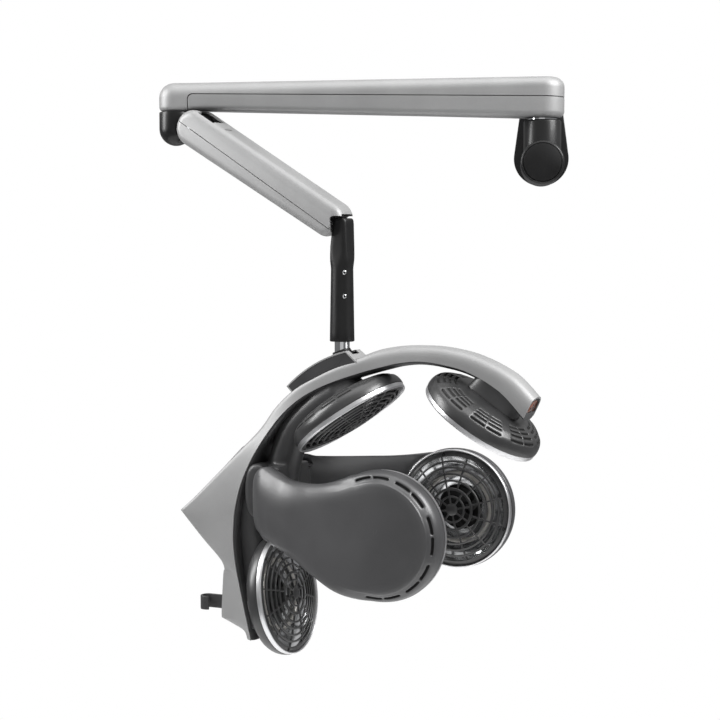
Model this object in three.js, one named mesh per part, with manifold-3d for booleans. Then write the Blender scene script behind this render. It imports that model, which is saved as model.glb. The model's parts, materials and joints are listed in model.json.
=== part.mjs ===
import * as THREE from 'three';
import { mergeVertices } from 'three/addons/utils/BufferGeometryUtils.js';
import loadManifold from 'manifold-3d';

// Wall mounted hair processor. Sizes are millimetres, angles degrees, +Z is up.
// The wall is the plane y = 0 and the unit hangs at y < 0. The origin is the middle of the
// wall plate's round part, on its back face.

// Fits
const GAP = 0.3; // between pieces that meet
const RUN_GAP = 0.6; // between pieces that move past each other
const WALL = 3; // moulded shells

// Wall bracket
const PLATE_RADIUS = 48;
const PLATE_TOP_HALF = 36;
const PLATE_TOP = 92;
const PLATE_THICK = 8;
const STUB_RADIUS = 37;
const STUB_DROP = 12; // stub axis below the plate's middle
const STUB_LENGTH = 128;
const SWIVEL_REACH = 94; // wall to swivel axis
const PILLAR_RADIUS = 32;
const PILLAR_TOP = 61;
const SPIGOT_RADIUS = 14;
const SPIGOT_RISE = 38;
const WASHER_RADIUS = 24;
const WASHER_THICK = 3;
const CAP_RADIUS = 34.5;
const CAP_DOME = 12;

// Upper arm
const UPPER_LENGTH = 633; // swivel axis to elbow axis
const UPPER_ROOT_HALF = 37; // half width, also the rounded end's radius
const UPPER_ROOT_HEIGHT = 69;
const UPPER_TIP_HALF = 26;
const UPPER_TIP_HEIGHT = 45;
const UPPER_TIP_RISE = 17.5; // underside at the elbow above the underside at the wall
const UPPER_TOP_ROUND = 15;
const UPPER_BOTTOM_ROUND = 7;
const UPPER_SEAM_ROOT = 35; // height of the parting line at the swivel axis
const UPPER_SEAM_TIP = 44;
const SEAM_CORNER = 9;
const HOUSING_RADIUS = 29; // elbow housing
const HOUSING_BOTTOM = 14.4;
const HOUSING_TOP = 64;
const HOUSING_ROUND = 20;
const HOUSING_FLOOR = 5;

// Elbow knuckle
const ELBOW_SPIGOT_RADIUS = 12;
const ELBOW_SPIGOT_RISE = 30;
const TILT_AHEAD = 48; // elbow axis to tilt hinge
const TILT_DROP = 30; // knuckle top to tilt hinge
const TONGUE_HALF = 13;
const TONGUE_RADIUS = 25;
const TILT_PIN_RADIUS = 5;

// Spring arm
const SPRING_LENGTH = 309; // tilt hinge to level hinge
const SPRING_ROOT_RADIUS = 31; // half thickness at the tilt hinge
const SPRING_ROOT_HALF = 31; // half width
const SPRING_TIP_RADIUS = 29;
const SPRING_TIP_HALF = 28;
const SPRING_OVERRUN = 4.5; // rounded lower end past the level hinge
const SPRING_ROUND = 14;
const SPRING_SEAM_TIP = -9; // parting line below the middle at the lower end
const ROOT_SLOT_LENGTH = 29;
const TIP_SLOT_LENGTH = 3;
const TIP_MOUTH = [[8, 7], [60, 7], [60, -80], [-8, -80], [-3, -34], [5, -22], [8, -12]]; // upright opening
const COIL_RADIUS = 13;
const COIL_WIRE = 4;
const COIL_TURNS = 7;
const COIL_STEPS = 7; // facets to one turn
const COIL_START = 70;
const COIL_LENGTH = 150;
const COIL_SIDE = -5; // coil axis beside the arm's middle
const COIL_SEAT_THICK = 3;
const COIL_SEAT_HALF = 14;

// Level link
const LINK_RISE = 13; // link pivots above the hinges
const LINK_EYE = 6.5;
const LINK_HALF_HEIGHT = 4.5;
const LINK_THICK = 4;
const LINK_PIN_RADIUS = 3.2;
const LINK_SIDE = 16.5; // inner face of the link beside the arm's middle

// Drop post
const POST_AHEAD = 20; // level hinge to post axis
const SLEEVE_RADIUS = 20.5;
const SLEEVE_TOP_RADIUS = 18.5;
const SLEEVE_DROP = 202.5; // level hinge to sleeve's lower end
const SLEEVE_TOP_DROP = 56;
const SLEEVE_BORE_LENGTH = 126;
const SLEEVE_TONGUE_HALF = 17;
const SLEEVE_EYE_RADIUS = 9.5;
const LEVEL_PIN_RADIUS = 4.5;
const SCREW_RADIUS = 3.3;
const SCREW_LENGTH = 4;
const SCREW_PROUD = 0.7;
const SCREW_ANGLE = -48;
const SCREW_RISES = [75, 114]; // above the sleeve's lower end

// Post and its sliding foot
const TUBE_RADIUS = 12.5;
const TUBE_WALL = 2.5;
const TUBE_SHOW = 19.5; // foot seat to the sleeve's lower end
const TUBE_INSIDE = 120;
const FOOT_SPIGOT_RISE = 30;
const COLLAR_RADIUS = 15.5;
const COLLAR_THICK = 4;
const SHOE_HALF_WIDTH = 21.5;
const SHOE_HALF_LENGTH = 14;
const SHOE_DEPTH = 11;

// Head, measured from the foot's seat on the post axis: x forward, y left
const TILT_CENTRE = [74, -217]; // x, z of the tilt axis, inside the client's head
const NECK_HALF = 28;
const NECK_FRONT_ANGLE = 104;
const NECK_REAR_ANGLE = 135.5;
const NECK_FRONT_TOE = [43, -14];
const NECK_DEPTH = 22;
const STRAP_THICK = 2.5;
const RAIL_FRONT_ANGLE = 102.6;
const RAIL_REAR_ANGLE = 129;

// Spine stations from the sensor end to the tail: edge x, edge z, crown x, crown z,
// half width at the edge, half width at the crown, corner rounding
const SPINE = [
  [326, -92, 342, -60, 25, 25, 20],
  [287, -52, 304, -25, 26, 26, 18],
  [236, -24, 247, 2, 26, 26, 17],
  [189, -12, 193, 14, 26, 26, 16],
  [149, -8, 148, 16, 27, 27, 16],
  [112, -12, 108, 14, 28, 28, 16],
  [79, -20, 71, 7, 28, 28, 15],
  [44, -30, 35, -7, 29, 29, 12],
  [7, -42, 0, -21, 30, 30, 9],
  [-28, -56, -36, -38, 30, 30, 8],
  [-64, -76, -74, -59, 32, 30, 8],
  [-96, -104, -110, -91, 36, 31, 8],
  [-124, -140, -139, -129, 40, 32, 8],
  [-149, -180, -174, -165, 43, 37, 8],
  [-168, -222, -214, -205, 45, 42, 8],
  [-179, -264, -257, -248, 46, 47, 8],
  [-182, -290, -286, -274, 46, 49, 8],
  [-183, -322, -245, -320, 46, 46, 8],
  [-181, -354, -214, -354, 44, 41, 8],
  [-179, -372, -209, -372, 42, 34, 7],
  [-177, -384, -217, -384, 41, 23, 6],
  [-167, -442, -222, -444, 36, 20, 5],
  [-164, -458, -222, -460, 34, 20, 5],
  [-162, -470, -201, -468, 33, 20, 5],
  [-160, -480, -177, -478, 32, 22, 4],
  [-158, -492, -169, -492, 31, 24, 3],
];
const LINER_LIP = 7; // liner inside the shell's edge
const LINER_BULGE = 6; // liner proud of the shell's edge
const LINER_SLOPE = 14; // from the liner's edge to its flat
const COLUMN_RADIUS = 28;
const COLUMN_PATH = [[-124, -294], [-115, -242], [-106, -182], [-84, -130], [-46, -92], [-4, -64]];
const NAPE_RIDGE_RADIUS = 30;
const NAPE_RIDGE_PATH = [[-172, -302], [-162, -342], [-154, -402], [-146, -472]];
const PEDESTAL_HALF = 28;
const PEDESTAL_REACH = 34; // depth behind a dome

// Wings
const WING_HINGE = [-108, 74]; // x and distance from the middle
const WING_HINGE_TOP = -204;
const WING_HINGE_BOTTOM = -270;
const WING_BARREL_RADIUS = 22;
const WING_PIN_RADIUS = 5;
const WING_LUG = 9; // height of a hinge lug
// Wing stations from root to lamp: x, distance of the outer face from the middle,
// top z, bottom z, thickness
const WING = [
  [-124, 94, -202, -292, 10],
  [-108, 102, -192, -304, 13],
  [-84, 108, -195, -316, 15],
  [-46, 122, -201, -328, 15],
  [4, 144, -201, -346, 13],
  [59, 166, -194, -366, 12],
  [109, 183, -187, -374, 12],
  [154, 191, -188, -372, 12],
  [189, 194, -210, -354, 12],
  [209, 194, -234, -328, 12],
  [217, 194, -258, -306, 12],
];
const WEB_ROW = 2; // station that the hinge lugs reach out to

// Lamps
const LAMP_SEGMENTS = 20;
const DOME_RADIUS = 103.5;
const DOME_DEPTH = 42.5;
const RING_STEP = 1.5; // ring inside the dome's rim
const RING_WIDTH = 3.2;
const RING_DEPTH = 9;
const RING_RADIUS = DOME_RADIUS - RING_STEP;
const RING_BORE = RING_RADIUS - RING_WIDTH;
const GRILLE_RISE = 15;
const GRILLE_THICK = 3.5;
const GRILLE_SPOKES = 6;
const GRILLE_HUB = 22; // radius of the solid middle
const GRILLE_BAND = [52, 60]; // solid band, inner and outer radius
const GRILLE_RIM = 8;
const REFLECTOR_STEP = 66; // radius where the bowl's slope changes
const REFLECTOR_LEDGE = 3; // level rim inside the ring
const HEATER_RADIUS = 58;
const HEATER_WIRE = 8.4;
const MOTOR_RADIUS = 15;
const SHAFT_RADIUS = 2.5;
const ROTOR_RADIUS = 34;
const ROTOR_BLADES = 5;
const REAR_LAMP = { x: 19, z: -109, normal: -55 };
const FRONT_LAMP = { x: 244, z: -103.5, normal: -124.6 };
const NAPE_LAMP = { x: -99.5, z: -411, normal: 9 };
const SIDE_LAMP = { x: 143.5, y: 142, z: -270.5 };

// Controls on the rear housing
const FASCIA_LENGTH = 120;
const FASCIA_HALF = 30;
const BUTTON_RADIUS = 9;
const BUTTON_PROUD = 2.5;
const BUTTON_TRAVEL = 1.5;
const BOARD_THICK = 1.6;
const BOARD_DEPTH = 12;
const SWITCH_LENGTH = 20;
const SWITCH_HALF = 7;
const SWITCH_PROUD = 2.5;

// Cord hook
const HOOK_BAND = 4;
const HOOK_HEIGHT = 24;
const HOOK_Z = -437;
const HOOK_REACH = 30;
const HOOK_CURL = 13;

// Pose at rest
const UPPER_YAW = 180;
const ELBOW_YAW = 155;
const SPRING_TILT = 30.3;
const HEAD_YAW = 5;

const wasm = await loadManifold();
wasm.setup();
const rad = THREE.MathUtils.degToRad;
const UP = new THREE.Vector3(0, 0, 1);

// Shared vertices, no flat triangles, faces outward
function closed(geometry) {
  const bare = geometry.clone();
  for (const name of Object.keys(bare.attributes)) {
    if (name !== 'position') bare.deleteAttribute(name);
  }
  const merged = mergeVertices(bare, 1e-3);
  const p = merged.attributes.position;
  const kept = [];
  let volume = 0;
  const [a, b, c] = [new THREE.Vector3(), new THREE.Vector3(), new THREE.Vector3()];
  for (let i = 0; i < merged.index.count; i += 3) {
    const t = [0, 1, 2].map((k) => merged.index.getX(i + k));
    if (t[0] === t[1] || t[1] === t[2] || t[2] === t[0]) continue;
    a.fromBufferAttribute(p, t[0]);
    b.fromBufferAttribute(p, t[1]);
    c.fromBufferAttribute(p, t[2]);
    volume += a.dot(b.cross(c));
    kept.push(t);
  }
  merged.setIndex(kept.flatMap((t) => (volume < 0 ? [t[0], t[2], t[1]] : t)));
  return merged;
}

function solid(geometry) {
  const g = closed(geometry);
  const vertProperties = new Float32Array(g.attributes.position.array);
  const triVerts = new Uint32Array(g.index.array);
  return new wasm.Manifold(new wasm.Mesh({ numProp: 3, vertProperties, triVerts }));
}

function geometryOf(manifold) {
  const mesh = manifold.getMesh();
  const g = new THREE.BufferGeometry();
  g.setAttribute('position', new THREE.BufferAttribute(new Float32Array(mesh.vertProperties), 3));
  g.setIndex([...mesh.triVerts]);
  g.computeVertexNormals();
  return g;
}

const join = (...geometries) => geometryOf(geometries.map(solid).reduce((a, b) => a.add(b)));
const cut = (geometry, ...tools) => {
  return geometryOf(tools.map(solid).reduce((a, b) => a.subtract(b), solid(geometry)));
};
const overlap = (a, b) => geometryOf(solid(a).intersect(solid(b)));

// Revolved about Z from a list of [radius, z]
function turned(profile, segments = LAMP_SEGMENTS) {
  const points = profile.map(([r, z]) => new THREE.Vector2(r, z));
  return closed(new THREE.LatheGeometry(points, segments).rotateX(Math.PI / 2));
}

function box(x0, x1, y0, y1, z0, z1) {
  const g = new THREE.BoxGeometry(x1 - x0, y1 - y0, z1 - z0);
  return g.translate((x0 + x1) / 2, (y0 + y1) / 2, (z0 + z1) / 2);
}

function rod(radius, z0, z1, segments = 20) {
  return new THREE.CylinderGeometry(radius, radius, z1 - z0, segments).rotateX(Math.PI / 2)
    .translate(0, 0, (z0 + z1) / 2);
}

// A rod across the arm, on the Y axis
const crossRod = (radius, half, x = 0, z = 0, segments = 20) => {
  return rod(radius, -half, half, segments).rotateX(Math.PI / 2).translate(x, 0, z);
};

// An outline in X and Z, swept across from y0 to y1
function sidePlate(outline, y0, y1) {
  const shape = new THREE.Shape(outline.map(([x, z]) => new THREE.Vector2(x, z)));
  const g = new THREE.ExtrudeGeometry(shape, { depth: y1 - y0, bevelEnabled: false });
  return g.rotateX(Math.PI / 2).translate(0, y1, 0);
}

// Points of an arc in degrees
function arc(cx, cz, radius, from, to, steps) {
  return Array.from({ length: steps + 1 }, (_, i) => {
    const a = rad(from + ((to - from) * i) / steps);
    return [cx + radius * Math.cos(a), cz + radius * Math.sin(a)];
  });
}

// Skin through loops of equal length, closed at both ends
function loft(loops) {
  const n = loops[0].length;
  const positions = loops.flat().flatMap((p) => [p.x, p.y, p.z]);
  const index = [];
  for (let s = 0; s + 1 < loops.length; s++) {
    for (let i = 0; i < n; i++) {
      const j = (i + 1) % n;
      index.push(s * n + i, (s + 1) * n + i, (s + 1) * n + j);
      index.push(s * n + i, (s + 1) * n + j, s * n + j);
    }
  }
  for (const [s, flip] of [[0, false], [loops.length - 1, true]]) {
    for (const t of capTriangles(loops[s])) {
      const corners = t.map((k) => s * n + k);
      index.push(...(flip ? corners.reverse() : corners));
    }
  }
  const g = new THREE.BufferGeometry();
  g.setAttribute('position', new THREE.Float32BufferAttribute(positions, 3));
  g.setIndex(index);
  return closed(g);
}

// Triangles of a flat loop, wound the same way as the loop
function capTriangles(loop) {
  const normal = new THREE.Vector3();
  loop.forEach((p, i) => normal.add(new THREE.Vector3().crossVectors(p, loop[(i + 1) % loop.length])));
  normal.normalize();
  const u = new THREE.Vector3().subVectors(loop[1], loop[0]).normalize();
  const v = new THREE.Vector3().crossVectors(normal, u);
  const flat = loop.map((p) => new THREE.Vector2(p.dot(u), p.dot(v)));
  return THREE.ShapeUtils.triangulateShape(flat, []);
}

// Rounded rectangle in Y and Z at a station x
function roundedLoop(x, half, bottom, top, topRound, bottomRound, steps = 2) {
  const corners = [
    [half - topRound, top - topRound, topRound, 0],
    [-half + topRound, top - topRound, topRound, 90],
    [-half + bottomRound, bottom + bottomRound, bottomRound, 180],
    [half - bottomRound, bottom + bottomRound, bottomRound, 270],
  ];
  return corners.flatMap(([y, z, r, from]) => arc(y, z, r, from, from + 90, steps))
    .map(([y, z]) => new THREE.Vector3(x, y, z));
}

// Upright round block with rounded rims
function puck(radius, bottom, top, topRound, bottomRound, segments = 18) {
  return turned([
    [0, bottom],
    ...arc(radius - bottomRound, bottom + bottomRound, bottomRound, -90, 0, 2),
    ...arc(radius - topRound, top - topRound, topRound, 0, 90, 2),
    [0, top],
  ], segments);
}

const materials = {
  silver: { color: 0xa9aaab, roughness: 0.38, metalness: 0.75 },
  black: { color: 0x1b1b1c, roughness: 0.42, metalness: 0.0 },
  darkGrey: { color: 0x4a4a4c, roughness: 0.5, metalness: 0.1 },
  charcoal: { color: 0x303032, roughness: 0.45, metalness: 0.0 },
  chrome: { color: 0xe4e6e8, roughness: 0.08, metalness: 1.0 },
  steel: { color: 0x9a9ca0, roughness: 0.3, metalness: 1.0 },
  reflector: { color: 0xd6d8da, roughness: 0.15, metalness: 1.0 },
  heater: { color: 0x8a7a66, roughness: 0.5, metalness: 0.3 },
  lens: { color: 0x6b3a30, roughness: 0.12, metalness: 0.0 },
  board: { color: 0x1f5a38, roughness: 0.6, metalness: 0.0 },
};

function piece(parent, name, finish, geometry) {
  const mesh = new THREE.Mesh(closed(geometry), new THREE.MeshStandardMaterial(materials[finish]));
  mesh.name = name;
  parent.add(mesh);
  return mesh;
}

function frame(parent, name, position, axis = UP, angle = 0) {
  const group = new THREE.Group();
  group.name = name;
  group.position.set(...position);
  group.quaternion.setFromAxisAngle(axis, rad(angle));
  parent.add(group);
  return group;
}

const ACROSS = new THREE.Vector3(0, 1, 0);
const unit = new THREE.Group();

// Wall bracket
const bracket = frame(unit, 'wall_bracket', [0, 0, 0]);

function wallPlate() {
  const lean = Math.atan2(PLATE_RADIUS - PLATE_TOP_HALF, PLATE_TOP);
  const low = THREE.MathUtils.radToDeg(lean);
  const outline = [
    [-PLATE_TOP_HALF, PLATE_TOP],
    ...arc(0, 0, PLATE_RADIUS, 180 - low, 360 + low, 20),
    [PLATE_TOP_HALF, PLATE_TOP],
  ];
  return sidePlate(outline, -PLATE_THICK, 0);
}

const stubBack = -PLATE_THICK - GAP;
const stubFront = stubBack - STUB_LENGTH;
const armBase = PILLAR_TOP + WASHER_THICK + 2 * GAP;

function bracketBody() {
  const stub = rod(STUB_RADIUS, 0, STUB_LENGTH, 28).rotateX(Math.PI / 2)
    .translate(0, stubBack, -STUB_DROP);
  const pillar = rod(PILLAR_RADIUS, -STUB_DROP, PILLAR_TOP, 28).translate(0, -SWIVEL_REACH, 0);
  const spigot = rod(SPIGOT_RADIUS, 0, PILLAR_TOP + SPIGOT_RISE).translate(0, -SWIVEL_REACH, 0);
  return join(stub, pillar, spigot);
}

function bracketCap() {
  const cap = turned([
    [0, 0],
    [CAP_RADIUS, 0],
    [CAP_RADIUS, CAP_DOME * 0.35],
    [CAP_RADIUS * 0.8, CAP_DOME * 0.75],
    [0, CAP_DOME],
  ]);
  return cap.rotateX(Math.PI / 2).translate(0, stubFront - GAP, -STUB_DROP);
}

function ringPlate(outer, inner, z0, z1, segments = LAMP_SEGMENTS) {
  return turned([[inner, z0], [outer, z0], [outer, z1], [inner, z1], [inner, z0]], segments);
}

piece(bracket, 'wall_plate', 'black', wallPlate());
piece(bracket, 'bracket_body', 'black', bracketBody());
piece(bracket, 'bracket_cap', 'black', bracketCap());
piece(bracket, 'pivot_washer', 'chrome',
  ringPlate(WASHER_RADIUS, SPIGOT_RADIUS + RUN_GAP, PILLAR_TOP + GAP, PILLAR_TOP + GAP + WASHER_THICK)
    .translate(0, -SWIVEL_REACH, 0));

// Upper arm, along local X from the swivel axis
const upperArm = frame(unit, 'upper_arm', [0, -SWIVEL_REACH, armBase], UP, UPPER_YAW);

function upperSolid(inset) {
  const round = (r) => r - inset;
  const root = puck(UPPER_ROOT_HALF - inset, inset, UPPER_ROOT_HEIGHT - inset,
    round(UPPER_TOP_ROUND), round(UPPER_BOTTOM_ROUND));
  const beam = loft([
    roundedLoop(0, UPPER_ROOT_HALF - inset, inset, UPPER_ROOT_HEIGHT - inset,
      round(UPPER_TOP_ROUND), round(UPPER_BOTTOM_ROUND)),
    roundedLoop(UPPER_LENGTH, UPPER_TIP_HALF - inset, UPPER_TIP_RISE + inset,
      UPPER_TIP_RISE + UPPER_TIP_HEIGHT - inset, round(UPPER_TOP_ROUND), round(UPPER_BOTTOM_ROUND)),
  ]);
  const floor = inset > 0 ? HOUSING_FLOOR : 0;
  const housing = puck(HOUSING_RADIUS - inset, HOUSING_BOTTOM + floor, HOUSING_TOP - inset,
    round(HOUSING_ROUND), 0.5).translate(UPPER_LENGTH, 0, 0);
  return join(root, beam, housing);
}

const upperShell = cut(upperSolid(0), upperSolid(WALL),
  rod(SPIGOT_RADIUS + RUN_GAP, -1, UPPER_ROOT_HEIGHT / 2),
  rod(ELBOW_SPIGOT_RADIUS + RUN_GAP, 0, HOUSING_TOP / 2).translate(UPPER_LENGTH, 0, 0));

// Everything below the parting line, which turns down before the elbow housing
function upperSeam(grow) {
  const end = UPPER_LENGTH - HOUSING_RADIUS + 4 + grow;
  const slope = (UPPER_SEAM_TIP - UPPER_SEAM_ROOT) / UPPER_LENGTH;
  const at = (x) => UPPER_SEAM_ROOT + slope * x + grow;
  const start = -UPPER_ROOT_HALF * 2;
  return sidePlate([
    [start, -UPPER_ROOT_HEIGHT],
    [end, -UPPER_ROOT_HEIGHT],
    ...arc(end - SEAM_CORNER, at(end) - SEAM_CORNER, SEAM_CORNER, 0, 90, 3),
    [start, at(start)],
  ], -UPPER_ROOT_HALF * 2, UPPER_ROOT_HALF * 2);
}

piece(upperArm, 'upper_arm_top_shell', 'silver', cut(upperShell, upperSeam(GAP)));
piece(upperArm, 'upper_arm_bottom_shell', 'silver', overlap(upperShell, upperSeam(0)));

// Elbow, along local X towards the spring arm
const elbow = frame(upperArm, 'elbow', [UPPER_LENGTH, 0, HOUSING_BOTTOM - RUN_GAP], UP, ELBOW_YAW);

function elbowKnuckle() {
  const r = HOUSING_RADIUS;
  const side = sidePlate([[-r, 0], ...arc(0, -r, r, 180, 360, 10), [r, 0]], -r, r);
  const body = overlap(rod(r, -2 * r, 0, 28), side);
  const cheeks = crossRod(SPRING_ROOT_RADIUS + 2 * RUN_GAP, 2 * r, TILT_AHEAD, -TILT_DROP, 28);
  const middle = box(-r, TILT_AHEAD, -TONGUE_HALF, TONGUE_HALF, -2 * r, 0);
  const bridge = sidePlate([
    [0, -TILT_DROP / 4],
    [TILT_AHEAD * 0.6, -TILT_DROP / 4],
    [TILT_AHEAD, -TILT_DROP],
    [TILT_AHEAD * 0.6, -TILT_DROP * 1.7],
    [0, -TILT_DROP * 1.7],
  ], -TONGUE_HALF, TONGUE_HALF);
  const spigot = rod(ELBOW_SPIGOT_RADIUS, -1, ELBOW_SPIGOT_RISE);
  const eye = crossRod(TONGUE_RADIUS, TONGUE_HALF, TILT_AHEAD, -TILT_DROP, 28);
  const pinEnd = LINK_SIDE + LINK_THICK + 1;
  const linkPin = crossRod(LINK_PIN_RADIUS, pinEnd / 2, TILT_AHEAD, LINK_RISE - TILT_DROP, 12)
    .translate(0, pinEnd / 2, 0);
  const whole = join(cut(body, cut(cheeks, middle)), bridge, eye, spigot, linkPin);
  return cut(whole, crossRod(TILT_PIN_RADIUS + GAP, TONGUE_HALF * 2, TILT_AHEAD, -TILT_DROP));
}

piece(elbow, 'elbow_knuckle', 'black', elbowKnuckle());
piece(elbow, 'tilt_pin', 'steel',
  crossRod(TILT_PIN_RADIUS, SPRING_ROOT_HALF - 0.5, TILT_AHEAD, -TILT_DROP));

// Spring arm, along local X from the tilt hinge to the level hinge
const springArm = frame(elbow, 'spring_arm', [TILT_AHEAD, 0, -TILT_DROP], ACROSS, SPRING_TILT);

function springSolid(inset) {
  const round = SPRING_ROUND - inset;
  const end = (radius, half, x) => {
    const r = radius - inset;
    const h = half - inset;
    return puck(r, -h, h, round, round).rotateX(Math.PI / 2).translate(x, 0, 0);
  };
  const loop = (x, radius, half) => {
    return roundedLoop(x, half - inset, inset - radius, radius - inset, round, round);
  };
  const tip = SPRING_LENGTH + SPRING_OVERRUN;
  const beam = loft([
    loop(0, SPRING_ROOT_RADIUS, SPRING_ROOT_HALF),
    loop(tip, SPRING_TIP_RADIUS, SPRING_TIP_HALF),
  ]);
  return join(end(SPRING_ROOT_RADIUS, SPRING_ROOT_HALF, 0), beam,
    end(SPRING_TIP_RADIUS, SPRING_TIP_HALF, tip));
}

// Tools set upright in the drop post's directions, about the level hinge
const upright = (g) => g.rotateY(-rad(SPRING_TILT)).translate(SPRING_LENGTH, 0, 0);
const tongueRoom = SLEEVE_TONGUE_HALF + RUN_GAP;
const springShell = cut(springSolid(0), springSolid(WALL),
  box(-2 * SPRING_ROOT_RADIUS, ROOT_SLOT_LENGTH, -TONGUE_HALF - RUN_GAP, TONGUE_HALF + RUN_GAP,
    -2 * SPRING_ROOT_RADIUS, 2 * SPRING_ROOT_RADIUS),
  box(SPRING_LENGTH - TIP_SLOT_LENGTH, SPRING_LENGTH + 2 * SPRING_TIP_RADIUS, -tongueRoom, tongueRoom,
    -2 * SPRING_TIP_RADIUS, -SPRING_TIP_RADIUS / 3),
  upright(sidePlate(TIP_MOUTH, -2 * SPRING_TIP_HALF, 2 * SPRING_TIP_HALF)),
  upright(box(-5, TIP_MOUTH[1][0], -tongueRoom, tongueRoom, TIP_MOUTH[2][1], TIP_MOUTH[0][1])),
  crossRod(TILT_PIN_RADIUS + GAP, 2 * SPRING_ROOT_HALF),
  crossRod(LEVEL_PIN_RADIUS + GAP, 2 * SPRING_TIP_HALF, SPRING_LENGTH));

function springSeam(grow) {
  const start = -2 * SPRING_ROOT_RADIUS;
  const end = SPRING_LENGTH + 2 * SPRING_TIP_RADIUS;
  const at = (x) => (SPRING_SEAM_TIP * x) / SPRING_LENGTH + grow;
  const deep = -3 * SPRING_ROOT_RADIUS;
  return sidePlate([[start, deep], [end, deep], [end, at(end)], [start, at(start)]],
    -2 * SPRING_ROOT_HALF, 2 * SPRING_ROOT_HALF);
}

// Coil seats stand on the bottom shell's floor
const coilEnds = [COIL_START - GAP - COIL_SEAT_THICK, COIL_START + COIL_LENGTH + GAP];
const springFloor = (x) => {
  return THREE.MathUtils.lerp(SPRING_ROOT_RADIUS, SPRING_TIP_RADIUS, x / SPRING_LENGTH) - WALL;
};
const coilDrop = springFloor(COIL_START + COIL_LENGTH) - COIL_RADIUS - COIL_WIRE;
const coilSeats = coilEnds.map((x) => box(x, x + COIL_SEAT_THICK, COIL_SIDE - COIL_SEAT_HALF,
  COIL_SIDE + COIL_SEAT_HALF, -springFloor(x) - WALL / 2, -coilDrop + COIL_RADIUS / 2));

piece(springArm, 'spring_arm_top_shell', 'silver', cut(springShell, springSeam(GAP)));
piece(springArm, 'spring_arm_bottom_shell', 'silver',
  join(overlap(springShell, springSeam(0)), ...coilSeats));

// One unbroken wire from seat to seat
function coilPath() {
  return Array.from({ length: COIL_TURNS * COIL_STEPS + 1 }, (_, i) => {
    const a = (i / COIL_STEPS) * 2 * Math.PI;
    const run = COIL_LENGTH - COIL_WIRE;
    const x = COIL_START + COIL_WIRE / 2 + (run * i) / (COIL_TURNS * COIL_STEPS);
    return new THREE.Vector3(x, COIL_SIDE + COIL_RADIUS * Math.cos(a), COIL_RADIUS * Math.sin(a) - coilDrop);
  });
}

function leastCoilGap(path) {
  const far = path.flatMap((p, i) => path.slice(i + COIL_STEPS - 1).map((q) => p.distanceTo(q)));
  return Math.min(...far) - COIL_WIRE;
}

function coilSpring() {
  const loops = coilPath().map((p, i) => {
    const a = (i / COIL_STEPS) * 2 * Math.PI;
    const outward = new THREE.Vector3(0, Math.cos(a), Math.sin(a));
    const along = new THREE.Vector3(1, 0, 0);
    return Array.from({ length: 4 }, (_, k) => {
      const b = (k / 4) * 2 * Math.PI;
      return p.clone().addScaledVector(outward, (COIL_WIRE / 2) * Math.cos(b))
        .addScaledVector(along, (COIL_WIRE / 2) * Math.sin(b));
    });
  });
  return loft(loops);
}

console.log(`least gap between coil turns ${leastCoilGap(coilPath()).toFixed(2)} mm`);
piece(springArm, 'balance_spring', 'steel', coilSpring());

// Level link, on a pivot above the tilt hinge and parallel to the spring arm
const link = frame(elbow, 'level_link', [TILT_AHEAD, 0, LINK_RISE - TILT_DROP], ACROSS, SPRING_TILT);

function levelLink() {
  const eyeAt = (x) => sidePlate(arc(x, 0, LINK_EYE, 0, 330, 11), LINK_SIDE, LINK_SIDE + LINK_THICK);
  const bar = box(0, SPRING_LENGTH, LINK_SIDE, LINK_SIDE + LINK_THICK, -LINK_HALF_HEIGHT, LINK_HALF_HEIGHT);
  const bore = (x) => crossRod(LINK_PIN_RADIUS + GAP, 2 * SPRING_ROOT_HALF, x, 0, 12);
  return cut(join(bar, eyeAt(0), eyeAt(SPRING_LENGTH)), bore(0), bore(SPRING_LENGTH));
}

piece(link, 'level_link', 'black', levelLink());

// Drop post, hung from the level hinge, with its axis ahead of the hinge
const dropPost = frame(springArm, 'drop_post', [SPRING_LENGTH, 0, 0], ACROSS, -SPRING_TILT);

function screwSeat(rise, radius, inner, outer) {
  return rod(radius, inner, outer, 12).rotateY(Math.PI / 2).rotateZ(rad(SCREW_ANGLE))
    .translate(POST_AHEAD, 0, rise - SLEEVE_DROP);
}

const sleeveRadiusAt = (rise) => {
  const share = rise / (SLEEVE_DROP - SLEEVE_TOP_DROP);
  return THREE.MathUtils.lerp(SLEEVE_RADIUS, SLEEVE_TOP_RADIUS, share);
};

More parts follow.
